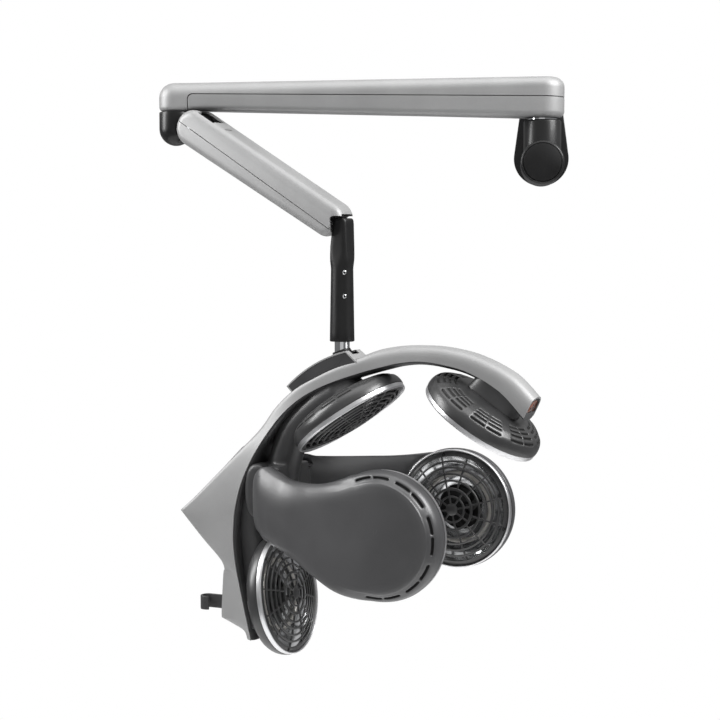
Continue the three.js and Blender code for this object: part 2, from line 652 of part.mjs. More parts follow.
function dropSleeve() {
  const body = turned([
    [0, -SLEEVE_DROP],
    [SLEEVE_RADIUS, -SLEEVE_DROP],
    [SLEEVE_TOP_RADIUS, -SLEEVE_TOP_DROP],
    [0, -SLEEVE_TOP_DROP],
  ], 28).translate(POST_AHEAD, 0, 0);
  const eye = SLEEVE_EYE_RADIUS;
  const back = POST_AHEAD - SLEEVE_TOP_RADIUS - 1;
  const face = POST_AHEAD + SLEEVE_TOP_RADIUS * 0.78;
  const tongue = sidePlate([
    [back, 2],
    [face - 14, 2],
    [face - 1, -4],
    [face, -9],
    [face + 1, -SLEEVE_TOP_DROP * 1.1],
    [POST_AHEAD, -SLEEVE_TOP_DROP * 1.3],
    [back, -SLEEVE_TOP_DROP * 1.1],
  ], -SLEEVE_TONGUE_HALF, SLEEVE_TONGUE_HALF);
  const top = crossRod(eye, SLEEVE_TONGUE_HALF, 0, 0, 20);
  const linkLug = sidePlate([[-5, 0], [5, 0], ...arc(0, LINK_RISE, 5, 0, 180, 5)],
    -SLEEVE_TONGUE_HALF, LINK_SIDE - RUN_GAP);
  const linkRoom = box(-4 * eye, LINK_EYE + 3, LINK_SIDE - RUN_GAP, 2 * SLEEVE_TONGUE_HALF,
    -LINK_EYE, 4 * eye);
  const pinEnd = LINK_SIDE + LINK_THICK + 1;
  const linkPin = crossRod(LINK_PIN_RADIUS, pinEnd / 2, 0, LINK_RISE, 12).translate(0, pinEnd / 2, 0);
  const bore = rod(TUBE_RADIUS + GAP, -SLEEVE_DROP - 1, SLEEVE_BORE_LENGTH - SLEEVE_DROP, 24)
    .translate(POST_AHEAD, 0, 0);
  const seats = SCREW_RISES.map((rise) => {
    const outer = sleeveRadiusAt(rise);
    return screwSeat(rise, SCREW_RADIUS + GAP, outer + SCREW_PROUD - SCREW_LENGTH - GAP, 2 * SLEEVE_RADIUS);
  });
  return cut(join(cut(join(body, tongue, top), linkRoom), linkLug, linkPin), bore,
    crossRod(LEVEL_PIN_RADIUS + GAP, 2 * SLEEVE_TONGUE_HALF), ...seats);
}

piece(dropPost, 'drop_sleeve', 'black', dropSleeve());
piece(dropPost, 'level_pin', 'steel', crossRod(LEVEL_PIN_RADIUS, SPRING_TIP_HALF - 0.5));
SCREW_RISES.forEach((rise, i) => {
  const outer = sleeveRadiusAt(rise) + SCREW_PROUD;
  piece(dropPost, ['sleeve_screw_lower', 'sleeve_screw_upper'][i], 'chrome',
    screwSeat(rise, SCREW_RADIUS, outer - SCREW_LENGTH, outer));
});

// Post, turning in the sleeve. Its origin is the foot's seat on the neck.
const post = frame(dropPost, 'post', [POST_AHEAD, 0, -SLEEVE_DROP - TUBE_SHOW], UP, HEAD_YAW);
const railRadius = Math.hypot(...TILT_CENTRE);
const seatAngle = THREE.MathUtils.radToDeg(Math.atan2(-TILT_CENTRE[1], -TILT_CENTRE[0]));
const seatSlope = seatAngle - 90;

// Laid along the rail: x along it, z away from the tilt axis, at the foot's seat
const onRail = (g) => g.rotateY(-rad(seatSlope));

function postTube() {
  const tube = ringPlate(TUBE_RADIUS, TUBE_RADIUS - TUBE_WALL, -TUBE_RADIUS, TUBE_SHOW + TUBE_INSIDE, 24);
  const wide = 4 * COLLAR_RADIUS;
  return cut(tube, onRail(box(-wide, wide, -wide, wide, -wide, RUN_GAP + COLLAR_THICK + GAP)));
}

function postFoot() {
  const collar = onRail(rod(COLLAR_RADIUS, RUN_GAP, RUN_GAP + COLLAR_THICK, 24));
  const neck = onRail(box(-TUBE_RADIUS, TUBE_RADIUS, -TUBE_RADIUS, TUBE_RADIUS,
    -STRAP_THICK * 2, RUN_GAP + 1));
  const shoe = onRail(box(-SHOE_HALF_LENGTH, SHOE_HALF_LENGTH, -SHOE_HALF_WIDTH, SHOE_HALF_WIDTH,
    -STRAP_THICK - 2 * RUN_GAP - SHOE_DEPTH, -STRAP_THICK - 2 * RUN_GAP));
  const spigot = rod(TUBE_RADIUS - TUBE_WALL - GAP, 0, FOOT_SPIGOT_RISE, 16);
  return join(collar, neck, shoe, spigot);
}

piece(post, 'post_tube', 'chrome', postTube());
piece(post, 'post_foot', 'black', postFoot());

// Head, x forward and y left
const head = frame(post, 'head', [0, 0, 0]);

// One spine section: points along the station's edge-to-crown line and across it
function spineLoop(row, inset, floor) {
  const [ex, ez, cx, cz, edgeHalf, crownHalf, rounding] = row;
  const depth = Math.hypot(cx - ex, cz - ez);
  const [dx, dz] = [(cx - ex) / depth, (cz - ez) / depth];
  const top = depth - inset;
  const halfAt = (t) => THREE.MathUtils.lerp(edgeHalf, crownHalf, t / depth) - inset;
  const r = Math.max(Math.min(rounding - inset, top - floor - 1), 0.5);
  const side = [[floor, halfAt(floor)]];
  for (let k = 0; k <= 2; k++) {
    const f = k / 2;
    const t = (1 - f) * (1 - f) * (top - r) + 2 * f * (1 - f) * top + f * f * top;
    const y = (1 - f) * (1 - f) * halfAt(top - r) + 2 * f * (1 - f) * halfAt(top)
      + f * f * (halfAt(top) - r);
    side.push([t, y]);
  }
  const whole = [...side, ...side.map(([t, y]) => [t, -y]).reverse()];
  return whole.map(([t, y]) => new THREE.Vector3(ex + dx * t, y, ez + dz * t));
}

const spineEnvelope = loft(SPINE.map((row) => spineLoop(row, -GAP, -GAP)));

function spineChannel() {
  return loft(SPINE.map((row) => {
    return [...spineLoop(row, 0, 0), ...spineLoop(row, WALL, 0).reverse()];
  }));
}

// Frames on the rear housing's two flat faces, from the stations' crown points
function facePlane(from, to) {
  const [a, b] = [SPINE[from], SPINE[to]].map((row) => new THREE.Vector3(row[2], 0, row[3]));
  const along = new THREE.Vector3().subVectors(b, a).normalize();
  const out = new THREE.Vector3().crossVectors(along, ACROSS).normalize();
  const matrix = new THREE.Matrix4().makeBasis(along, ACROSS, out);
  const middle = a.clone().add(b).multiplyScalar(0.5);
  return matrix.setPosition(middle);
}

const KINK_ROW = 12;
const FIN_ROW = 16;
const LOW_ROW = 18;
const fasciaPlane = facePlane(FIN_ROW, KINK_ROW);
const switchPlane = facePlane(LOW_ROW, FIN_ROW);
const onPlane = (plane, g) => g.applyMatrix4(plane);

const fasciaWindow = onPlane(fasciaPlane, box(-FASCIA_LENGTH / 2 - GAP, FASCIA_LENGTH / 2 + GAP,
  -FASCIA_HALF - GAP, FASCIA_HALF + GAP, -2 * WALL, 4 * WALL));
const switchWindow = onPlane(switchPlane, box(-SWITCH_LENGTH / 2 - RUN_GAP, SWITCH_LENGTH / 2 + RUN_GAP,
  -SWITCH_HALF - RUN_GAP, SWITCH_HALF + RUN_GAP, -3 * WALL, 4 * WALL));

// Room for the sliding foot along the rail
function railRoom(inner, outer, half) {
  const [cx, cz] = TILT_CENTRE;
  return sidePlate([
    ...arc(cx, cz, outer, RAIL_FRONT_ANGLE, RAIL_REAR_ANGLE, 10),
    ...arc(cx, cz, inner, RAIL_REAR_ANGLE, RAIL_FRONT_ANGLE, 10),
  ], -half, half);
}

const shoeFloor = railRadius - STRAP_THICK - 4 * RUN_GAP - SHOE_DEPTH;
const shoeRoom = railRoom(shoeFloor, railRadius + 10, SHOE_HALF_WIDTH + RUN_GAP);
const neckSlot = railRoom(shoeFloor, railRadius + 10, TUBE_RADIUS + RUN_GAP);

piece(head, 'spine_shell', 'silver', cut(spineChannel(), fasciaWindow, switchWindow, shoeRoom));

// Neck block and its silver strap
function neckOutline(inset, depth) {
  const [cx, cz] = TILT_CENTRE;
  const rear = NECK_REAR_ANGLE - THREE.MathUtils.radToDeg(inset / railRadius);
  return [
    [NECK_FRONT_TOE[0] - inset * 2, NECK_FRONT_TOE[1]],
    ...arc(cx, cz, railRadius - inset, NECK_FRONT_ANGLE, rear, 10),
    ...arc(cx, cz, railRadius - depth, rear, NECK_FRONT_ANGLE, 6),
  ];
}

const blockShape = sidePlate(neckOutline(STRAP_THICK + GAP, NECK_DEPTH), -NECK_HALF, NECK_HALF);
const strapShape = sidePlate(neckOutline(0, NECK_DEPTH), -NECK_HALF - 0.5, NECK_HALF + 0.5);
const strapInside = sidePlate(neckOutline(STRAP_THICK, NECK_DEPTH + 6), -2 * NECK_HALF, 2 * NECK_HALF);
piece(head, 'neck_block', 'charcoal', cut(blockShape, spineEnvelope, shoeRoom));
piece(head, 'neck_strap', 'silver', cut(strapShape, strapInside, spineEnvelope, neckSlot));

// Liner: plate under the shell's edge, column, nape ridge, lamp pedestals and wing barrels
function linerPlate() {
  return loft(SPINE.map((row) => {
    const [ex, ez, cx, cz, edgeHalf, crownHalf, rounding] = row;
    const depth = Math.hypot(cx - ex, cz - ez);
    const [dx, dz] = [(cx - ex) / depth, (cz - ez) / depth];
    const lip = Math.max(Math.min(LINER_LIP, depth - Math.max(rounding, WALL) - 1), 1);
    const inner = edgeHalf - WALL - 2 * GAP;
    const lipHalf = Math.min(inner, THREE.MathUtils.lerp(inner, crownHalf - WALL - 2 * GAP, lip / depth));
    const side = [
      [lip, lipHalf - 0.4],
      [0, inner],
      [-LINER_BULGE * 0.6, inner - LINER_SLOPE * 0.4],
      [-LINER_BULGE, inner - LINER_SLOPE],
    ];
    const whole = [...side, ...side.map(([t, y]) => [t, -y]).reverse()];
    return whole.map(([t, y]) => new THREE.Vector3(ex + dx * t, y, ez + dz * t));
  }));
}

// Round bar along a path in the head's middle plane
function middleBar(path, radius, sides = 8) {
  const curve = new THREE.CatmullRomCurve3(path.map(([x, z]) => new THREE.Vector3(x, 0, z)));
  const steps = path.length;
  const loops = Array.from({ length: steps + 1 }, (_, i) => {
    const p = curve.getPoint(i / steps);
    const along = curve.getTangent(i / steps);
    const out = new THREE.Vector3().crossVectors(ACROSS, along);
    return Array.from({ length: sides }, (_, k) => {
      const b = (k / sides) * 2 * Math.PI;
      const rim = p.clone().addScaledVector(out, radius * Math.cos(b));
      return rim.addScaledVector(ACROSS, radius * Math.sin(b));
    });
  });
  return loft(loops);
}

// Lamp frames: local z is the way the lamp faces, at the ring's front
function lampMatrix({ x, z, normal }) {
  const turn = new THREE.Matrix4().makeRotationY(rad(90 - normal));
  return turn.setPosition(x, 0, z);
}

function pedestal(lamp, length) {
  const corner = PEDESTAL_HALF * 0.7;
  const outline = roundedLoop(0, PEDESTAL_HALF, -length, length, corner, corner, 1);
  const lift = (z) => outline.map((p) => new THREE.Vector3(p.z, p.y, z));
  return loft([lift(-DOME_DEPTH + 5), lift(-DOME_DEPTH - PEDESTAL_REACH)]).applyMatrix4(lampMatrix(lamp));
}

function domeRoom(lamp) {
  const grown = domeProfile().slice(0, 5).map(([r, z]) => [r > 0 ? r + GAP : 0, z - GAP]);
  return turned([[0, 0], [grown[0][0], 0], ...grown]).applyMatrix4(lampMatrix(lamp));
}

function wingBarrel(side) {
  const [x, y] = WING_HINGE;
  const barrel = rod(WING_BARREL_RADIUS, WING_HINGE_BOTTOM, WING_HINGE_TOP, 16).translate(x, side * y, 0);
  const arm = box(x - 45, x, Math.min(0, side * y), Math.max(0, side * y),
    WING_HINGE_BOTTOM, WING_HINGE_TOP);
  return join(barrel, arm);
}

function wingPinBore(side, extra) {
  const [x, y] = WING_HINGE;
  const past = 2 * WING_LUG;
  return rod(WING_PIN_RADIUS + extra, WING_HINGE_BOTTOM - past, WING_HINGE_TOP + past, 10)
    .translate(x, side * y, 0);
}

function spineLiner() {
  const grown = join(
    middleBar(COLUMN_PATH, COLUMN_RADIUS),
    middleBar(NAPE_RIDGE_PATH, NAPE_RIDGE_RADIUS),
    pedestal(REAR_LAMP, 50),
    pedestal(FRONT_LAMP, 48),
    pedestal(NAPE_LAMP, 48),
    wingBarrel(1),
    wingBarrel(-1),
  );
  const trimmed = cut(grown, spineEnvelope, blockShape);
  return cut(join(trimmed, linerPlate()), domeRoom(REAR_LAMP), domeRoom(FRONT_LAMP), domeRoom(NAPE_LAMP),
    wingPinBore(1, GAP), wingPinBore(-1, GAP), shoeRoom);
}

// Lamp pieces
function domeProfile() {
  const rim = -RING_DEPTH - GAP;
  return [
    [DOME_RADIUS, rim],
    [DOME_RADIUS - 2, rim - 11],
    [DOME_RADIUS * 0.84, -DOME_DEPTH + 8.5],
    [DOME_RADIUS * 0.45, -DOME_DEPTH + 1],
    [0, -DOME_DEPTH],
    [0, -18],
    [SHAFT_RADIUS, -18],
    [SHAFT_RADIUS, -27],
    [MOTOR_RADIUS, -27],
    [MOTOR_RADIUS, -DOME_DEPTH + WALL + 1],
    [DOME_RADIUS * 0.83, -DOME_DEPTH + WALL + 9],
    [DOME_RADIUS - WALL - 2, rim - 11],
    [DOME_RADIUS - WALL, rim],
    [DOME_RADIUS, rim],
  ];
}

function chromeRing() {
  return turned([
    [RING_BORE, -RING_DEPTH],
    [RING_RADIUS, -RING_DEPTH],
    [RING_RADIUS, -RING_DEPTH * 0.4],
    [RING_RADIUS - RING_WIDTH * 0.3, 1.5],
    [RING_BORE, 0],
    [RING_BORE, -RING_DEPTH],
  ]);
}

// Convex grid of rings and spokes, as cells of a polar net with open and solid cells
function grilleGrid() {
  const radius = RING_BORE * Math.cos(Math.PI / LAMP_SEGMENTS) - GAP;
  const radii = [0, GRILLE_HUB, ...GRILLE_BAND, radius - GRILLE_RIM, radius];
  const cells = GRILLE_SPOKES * 3;
  const spokeShare = 0.16;
  const angleAt = (k) => {
    const spoke = Math.floor(k / 3);
    const part = [0, spokeShare, (1 + spokeShare) / 2][((k % 3) + 3) % 3];
    return ((spoke + part) / GRILLE_SPOKES) * 2 * Math.PI;
  };
  const height = (r) => GRILLE_RISE * (1 - (r / radius) ** 2) - 2;
  const isSolid = (i, k) => i % 2 === 0 || k % 3 === 0;
  const isOpen = (i, k) => i >= 0 && (i + 1 >= radii.length || !isSolid(i, (k + cells) % cells));
  const at = (i, k, low) => {
    const [r, a] = [radii[i], angleAt(k % cells)];
    return [r * Math.cos(a), r * Math.sin(a), height(r) - (low ? GRILLE_THICK : 0)];
  };
  const quads = [];
  for (let i = 0; i + 1 < radii.length; i++) {
    for (let k = 0; k < cells; k++) {
      if (!isSolid(i, k)) continue;
      const [a, b, c, d] = [at(i, k, 0), at(i + 1, k, 0), at(i + 1, k + 1, 0), at(i, k + 1, 0)];
      const [e, f, g, h] = [at(i, k, 1), at(i + 1, k, 1), at(i + 1, k + 1, 1), at(i, k + 1, 1)];
      quads.push([a, b, c, d], [h, g, f, e]);
      if (isOpen(i + 1, k)) quads.push([b, f, g, c]);
      if (isOpen(i - 1, k)) quads.push([d, h, e, a]);
      if (isOpen(i, k + 1)) quads.push([d, c, g, h]);
      if (isOpen(i, k - 1)) quads.push([e, f, b, a]);
    }
  }
  const positions = quads.flatMap(([a, b, c, d]) => [...a, ...b, ...c, ...a, ...c, ...d]);
  const g = new THREE.BufferGeometry();
  g.setAttribute('position', new THREE.Float32BufferAttribute(positions, 3));
  return closed(g);
}

function reflectorBowl() {
  const top = -RING_DEPTH - GAP;
  const flange = DOME_RADIUS - WALL - 3 * GAP;
  const mouth = ROTOR_RADIUS + 4;
  return turned([
    [flange, top],
    [RING_BORE - REFLECTOR_LEDGE, top],
    [REFLECTOR_STEP, top - 13],
    [mouth, top - 20],
    [mouth, top - 21.6],
    [REFLECTOR_STEP + 1, top - 14.5],
    [flange, top - 1.6],
    [flange, top],
  ]);
}

function heaterRing() {
  const g = new THREE.TorusGeometry(HEATER_RADIUS, HEATER_WIRE / 2, 5, 14);
  return g.translate(0, 0, -RING_DEPTH - 10.6);
}

function fanRotor() {
  const hub = ringPlate(MOTOR_RADIUS - 1, SHAFT_RADIUS + GAP, -27 + RUN_GAP, -18.5, 12);
  const blades = Array.from({ length: ROTOR_BLADES }, (_, k) => {
    const blade = new THREE.BoxGeometry(ROTOR_RADIUS - MOTOR_RADIUS + 4, 14, 1.6);
    return blade.rotateX(rad(24)).translate((ROTOR_RADIUS + MOTOR_RADIUS - 5) / 2, 0, -22.5)
      .rotateZ((2 * Math.PI * k) / ROTOR_BLADES);
  });
  return join(hub, ...blades);
}

function lampInside(parent, name) {
  piece(parent, `${name}_ring`, 'chrome', chromeRing());
  piece(parent, `${name}_grille`, 'charcoal', grilleGrid());
  piece(parent, `${name}_reflector`, 'reflector', reflectorBowl());
  piece(parent, `${name}_heater`, 'heater', heaterRing());
  const fan = frame(parent, `${name}_fan`, [0, 0, 0]);
  piece(fan, `${name}_fan`, 'black', fanRotor());
}

piece(head, 'spine_liner', 'charcoal', spineLiner());
const headLamps = { rear_lamp: REAR_LAMP, front_lamp: FRONT_LAMP, nape_lamp: NAPE_LAMP };
for (const [name, lamp] of Object.entries(headLamps)) {
  const group = frame(head, name, [lamp.x, 0, lamp.z], ACROSS, 90 - lamp.normal);
  piece(group, `${name}_dome`, 'charcoal', turned(domeProfile()));
  lampInside(group, name);
}

// Controls
function controlFascia() {
  const plate = box(-FASCIA_LENGTH / 2, FASCIA_LENGTH / 2, -FASCIA_HALF, FASCIA_HALF, -WALL, 0);
  const posts = [-1, 1].flatMap((i) => [-1, 1].map((j) => {
    return rod(3, -BOARD_DEPTH, -WALL / 2, 10).translate(i * FASCIA_LENGTH * 0.33, j * FASCIA_HALF * 0.7, 0);
  }));
  return cut(join(plate, ...posts), rod(BUTTON_RADIUS + RUN_GAP, -2 * WALL, WALL));
}

piece(head, 'control_fascia', 'black', onPlane(fasciaPlane, controlFascia()));
piece(head, 'circuit_board', 'board', onPlane(fasciaPlane,
  box(-FASCIA_LENGTH * 0.4, FASCIA_LENGTH * 0.4, -FASCIA_HALF * 0.85, FASCIA_HALF * 0.85,
    -BOARD_DEPTH - GAP - BOARD_THICK, -BOARD_DEPTH - GAP)));
const button = frame(head, 'start_button', [0, 0, 0]);
piece(button, 'start_button', 'steel', onPlane(fasciaPlane,
  rod(BUTTON_RADIUS, -BOARD_DEPTH + BUTTON_TRAVEL + 1, BUTTON_PROUD, 20)));
const rocker = frame(head, 'mains_switch', [0, 0, 0]);
piece(rocker, 'mains_switch', 'black', onPlane(switchPlane, sidePlate([
  [-SWITCH_LENGTH / 2, -WALL * 1.5],
  [SWITCH_LENGTH / 2, -WALL * 1.5],
  [SWITCH_LENGTH / 2, 0.5],
  [0, SWITCH_PROUD / 2],
  [-SWITCH_LENGTH / 2, SWITCH_PROUD],
], -SWITCH_HALF, SWITCH_HALF)));

// Cord hook behind the tail: out, round and back
function cordHook() {
  const rear = Math.min(SPINE[21][2], SPINE[22][2]);
  const turn = rear - GAP - HOOK_REACH;
  const outline = [
    [rear - GAP, HOOK_BAND / 2],
    ...arc(turn, HOOK_BAND / 2 - HOOK_CURL, HOOK_CURL, 90, 300, 10),
    ...arc(turn, HOOK_BAND / 2 - HOOK_CURL, HOOK_CURL - HOOK_BAND, 300, 90, 10),
    [rear - GAP, -HOOK_BAND / 2],
  ];
  const shape = new THREE.Shape(outline.map(([x, y]) => new THREE.Vector2(x, y)));
  const g = new THREE.ExtrudeGeometry(shape, { depth: HOOK_HEIGHT, bevelEnabled: false });
  return g.translate(0, 0, HOOK_Z - HOOK_HEIGHT / 2);
}

piece(head, 'cord_hook', 'charcoal', cordHook());

// Sensor window closing the boom's end above the liner
function sensorLens() {
  const [first, second] = SPINE;
  const at = (share) => first.map((v, i) => THREE.MathUtils.lerp(v, second[i], share));
  return loft([at(0.03), at(0.1)].map((row) => spineLoop(row, WALL + GAP, LINER_LIP + GAP)));
}

piece(head, 'sensor_lens', 'lens', sensorLens());

// Wings
function wingLoop([x, outer, top, bottom, thick], side, next, prev) {
  const run = new THREE.Vector2(next[0] - prev[0], next[1] - prev[1]).normalize();
  const inward = new THREE.Vector2(run.y, -run.x);
  const round = Math.min(thick * 0.49, (top - bottom) * 0.3);
  return roundedLoop(0, thick / 2, bottom, top, round, round, 1).map((p) => {
    const depth = thick / 2 - p.y;
    return new THREE.Vector3(x + inward.x * depth, side * (outer + inward.y * depth), p.z);
  });
}

function wingShell(side) {
  const [hx, hy] = WING_HINGE;
  const blade = loft(WING.map((row, i) => {
    return wingLoop(row, side, WING[Math.min(i + 1, WING.length - 1)], WING[Math.max(i - 1, 0)]);
  }));
  const seat = sideLampMatrix(side);
  const dome = turned(domeProfile()).applyMatrix4(seat);
  const outside = turned([[0, DOME_DEPTH], [DOME_RADIUS, DOME_DEPTH], ...domeProfile().slice(0, 5)]);
  const hollow = cut(outside, turned(domeProfile())).applyMatrix4(seat);
  const levels = [
    [WING_HINGE_TOP + RUN_GAP, WING_HINGE_TOP + WING_LUG],
    [WING_HINGE_BOTTOM - WING_LUG, WING_HINGE_BOTTOM - RUN_GAP],
  ];
  const webEnd = WING[WEB_ROW][1];
  const lugs = levels.map(([z0, z1]) => {
    const eye = rod(WING_BARREL_RADIUS, z0, z1, 16).translate(hx, side * hy, 0);
    const y0 = Math.min(side * hy, side * webEnd);
    return join(eye, box(hx, hx + WING_BARREL_RADIUS, y0, y0 + webEnd - hy, z0, z1));
  });
  const barrelRoom = rod(WING_BARREL_RADIUS + 2 * RUN_GAP, WING_HINGE_BOTTOM, WING_HINGE_TOP, 16)
    .translate(hx, side * hy, 0);
  return cut(join(cut(blade, hollow), dome, ...lugs), barrelRoom, wingPinBore(side, GAP));
}

function sideLampMatrix(side) {
  const turn = new THREE.Matrix4().makeRotationX((side * Math.PI) / 2);
  return turn.setPosition(SIDE_LAMP.x, side * SIDE_LAMP.y, SIDE_LAMP.z);
}

for (const [name, side] of [['left', 1], ['right', -1]]) {
  const wing = frame(head, `wing_${name}`, [0, 0, 0]);
  piece(wing, `wing_${name}_shell`, 'darkGrey', wingShell(side));
  piece(wing, `wing_${name}_hinge_pin`, 'steel', wingPin(side));
  const lamp = frame(wing, `${name}_lamp`, [SIDE_LAMP.x, side * SIDE_LAMP.y, SIDE_LAMP.z],
    new THREE.Vector3(1, 0, 0), side * 90);
  lampInside(lamp, `${name}_lamp`);
}

function wingPin(side) {
  const [x, y] = WING_HINGE;
  return rod(WING_PIN_RADIUS, WING_HINGE_BOTTOM - WING_LUG, WING_HINGE_TOP + WING_LUG, 10)
    .translate(x, side * y, 0);
}

export default unit;
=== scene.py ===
import json
import math
import bmesh
import bpy
from mathutils import Matrix, Vector


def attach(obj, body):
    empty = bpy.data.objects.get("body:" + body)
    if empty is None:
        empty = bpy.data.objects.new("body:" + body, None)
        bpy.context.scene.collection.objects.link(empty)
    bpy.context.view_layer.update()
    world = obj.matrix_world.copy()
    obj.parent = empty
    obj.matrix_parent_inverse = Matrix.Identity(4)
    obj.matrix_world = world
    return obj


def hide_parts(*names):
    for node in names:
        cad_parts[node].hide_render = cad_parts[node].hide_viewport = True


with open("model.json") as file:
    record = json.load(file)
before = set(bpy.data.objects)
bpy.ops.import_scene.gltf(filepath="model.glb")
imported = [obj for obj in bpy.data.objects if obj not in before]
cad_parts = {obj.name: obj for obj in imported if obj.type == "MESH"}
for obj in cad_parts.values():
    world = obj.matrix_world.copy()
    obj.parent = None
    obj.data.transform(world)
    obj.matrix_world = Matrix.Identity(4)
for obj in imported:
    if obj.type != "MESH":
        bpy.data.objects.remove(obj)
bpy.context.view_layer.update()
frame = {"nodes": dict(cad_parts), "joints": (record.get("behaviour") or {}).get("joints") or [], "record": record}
nodes = frame["nodes"]
joints = {j["name"]: j for j in frame["joints"]}
print("frame loaded with", len(nodes), "nodes")

mm = 0.001
weldGap = 2e-6
rad = math.radians
cos, sin, pi, hypot, sqrt = math.cos, math.sin, math.pi, math.hypot, math.sqrt


class planDict(dict):  # a piece's values, also read as plan.name
    __getattr__ = dict.__getitem__


# places of the moving pieces, taken from the joints
def yawOf(joint):
    axis = joints[joint]["axis"]
    return math.atan2(-axis[0], axis[1])


def placeAt(joint, yaw=0.0, tilt=0.0):
    spot = Matrix.Translation(Vector(joints[joint]["pos_m"]))
    return spot @ Matrix.Rotation(yaw, 4, "Z") @ Matrix.Rotation(tilt, 4, "Y")


def shift(x, y, z):
    return Matrix.Translation(Vector((x, y, z)))


def turned(angle, axis):
    return Matrix.Rotation(rad(angle), 4, axis)


springTilt = rad(30.3)
armYaw = yawOf("arm_tilt")
headYaw = yawOf("head_tilt")
wallPlace = Matrix.Identity(4)
upperPlace = placeAt("wall_swivel", pi)
elbowPlace = placeAt("elbow_swivel", armYaw)
springPlace = placeAt("arm_tilt", armYaw, springTilt)
sleevePlace = placeAt("post_level", armYaw)
headPlace = placeAt("head_swivel", headYaw)


# finishes, all from nodes
finishLooks = {
    "silverPaint": dict(slot="silver_paint", color=(0.335, 0.338, 0.342), rough=0.50, metal=0.40,
        mottle=18, spread=0.05, grain=2600, bump=0.05, flake=0.10),
    "silverShell": dict(slot="silver_shell", color=(0.345, 0.347, 0.351), rough=0.52, metal=0.35,
        mottle=14, spread=0.05, grain=2400, bump=0.04, flake=0.08),
    "blackPlastic": dict(slot="black_plastic", color=(0.007, 0.007, 0.0072), rough=0.40, shine=0.35,
        mottle=30, spread=0.25, grain=1500, bump=0.10, edge=0.03),
    "blackMetal": dict(slot="black_metal", color=(0.006, 0.006, 0.0062), rough=0.34, shine=0.35,
        mottle=26, spread=0.22, grain=1200, bump=0.08, edge=0.02, coat=0.1),
    "charcoal": dict(slot="charcoal_plastic", color=(0.045, 0.045, 0.046), rough=0.36, shine=0.6,
        mottle=24, spread=0.15, grain=1600, bump=0.09, edge=0.02),
    "domeCharcoal": dict(slot="charcoal_plastic", color=(0.026, 0.026, 0.0265), rough=0.34, shine=0.8,
        mottle=24, spread=0.15, grain=1600, bump=0.09, edge=0.012),
    "wingGrey": dict(slot="grey_plastic", color=(0.056, 0.056, 0.058), rough=0.38, shine=0.9, metal=0.15,
        mottle=12, spread=0.10, grain=2000, bump=0.07, edge=0.02),
    "chrome": dict(slot="chrome", color=(0.82, 0.83, 0.84), rough=0.10, metal=1.0,
        mottle=60, spread=0.03, grain=900, bump=0.01),
    "satinChrome": dict(slot="chrome", color=(0.72, 0.72, 0.73), rough=0.36, metal=1.0,
        mottle=40, spread=0.04, grain=1800, bump=0.03),
    "steel": dict(slot="steel", color=(0.50, 0.51, 0.52), rough=0.28, metal=1.0,
        mottle=50, spread=0.08, grain=1500, bump=0.06, stretch=(1, 1, 12)),
    "reflector": dict(slot="reflector", color=(0.80, 0.81, 0.82), rough=0.15, metal=1.0,
        mottle=70, spread=0.10, grain=400, bump=0.06),
    "quartz": dict(slot="heater", color=(0.55, 0.53, 0.50), rough=0.16, metal=0.2,
        mottle=90, spread=0.12, grain=900, bump=0.03, coat=0.5),
    "lens": dict(slot="lens", color=(0.22, 0.085, 0.055), rough=0.12,
        mottle=160, spread=0.35, grain=500, bump=0.03, coat=0.6),
    "board": dict(slot="board", color=(0.012, 0.09, 0.045), rough=0.5,
        mottle=200, spread=0.3, grain=700, bump=0.2),
    # near-black finish: painted shade on the vent pocket walls and floors and on the fan well, plain black on the
    # rim screws
    "paintedShadeAndBlack": dict(slot="black_plastic", color=(0.004, 0.004, 0.004), rough=0.6,
        mottle=40, spread=0.2, grain=900, bump=0.05),
    "displayGlass": dict(slot="black_plastic", color=(0.006, 0.007, 0.009), rough=0.06,
        mottle=20, spread=0.1, grain=300, bump=0.0, coat=0.8),
    "keyPad": dict(slot="grey_plastic", color=(0.16, 0.16, 0.165), rough=0.55,
        mottle=80, spread=0.1, grain=1400, bump=0.12),
}


# values shared by all finishes
finishBase = planDict(
    shine=0.5, coatRough=0.08, mottleDetail=5, mottleStops=(0.3, 0.7), flakeScale=1900, flakeTint=0.12,
    rubFrom=0.53, rubTo=0.62, glossSpread=(0.85, 1.18), grainDetail=2, bumpHeight=0.0004)


def setSockets(tree, node, sockets):
    for name, value in sockets.items():
        if isinstance(value, bpy.types.NodeSocket):
            tree.links.new(value, node.inputs[name])
        else:
            node.inputs[name].default_value = value
    return node


def addNode(tree, kind, sockets=None):
    return setSockets(tree, tree.nodes.new("ShaderNode" + kind), sockets or {})


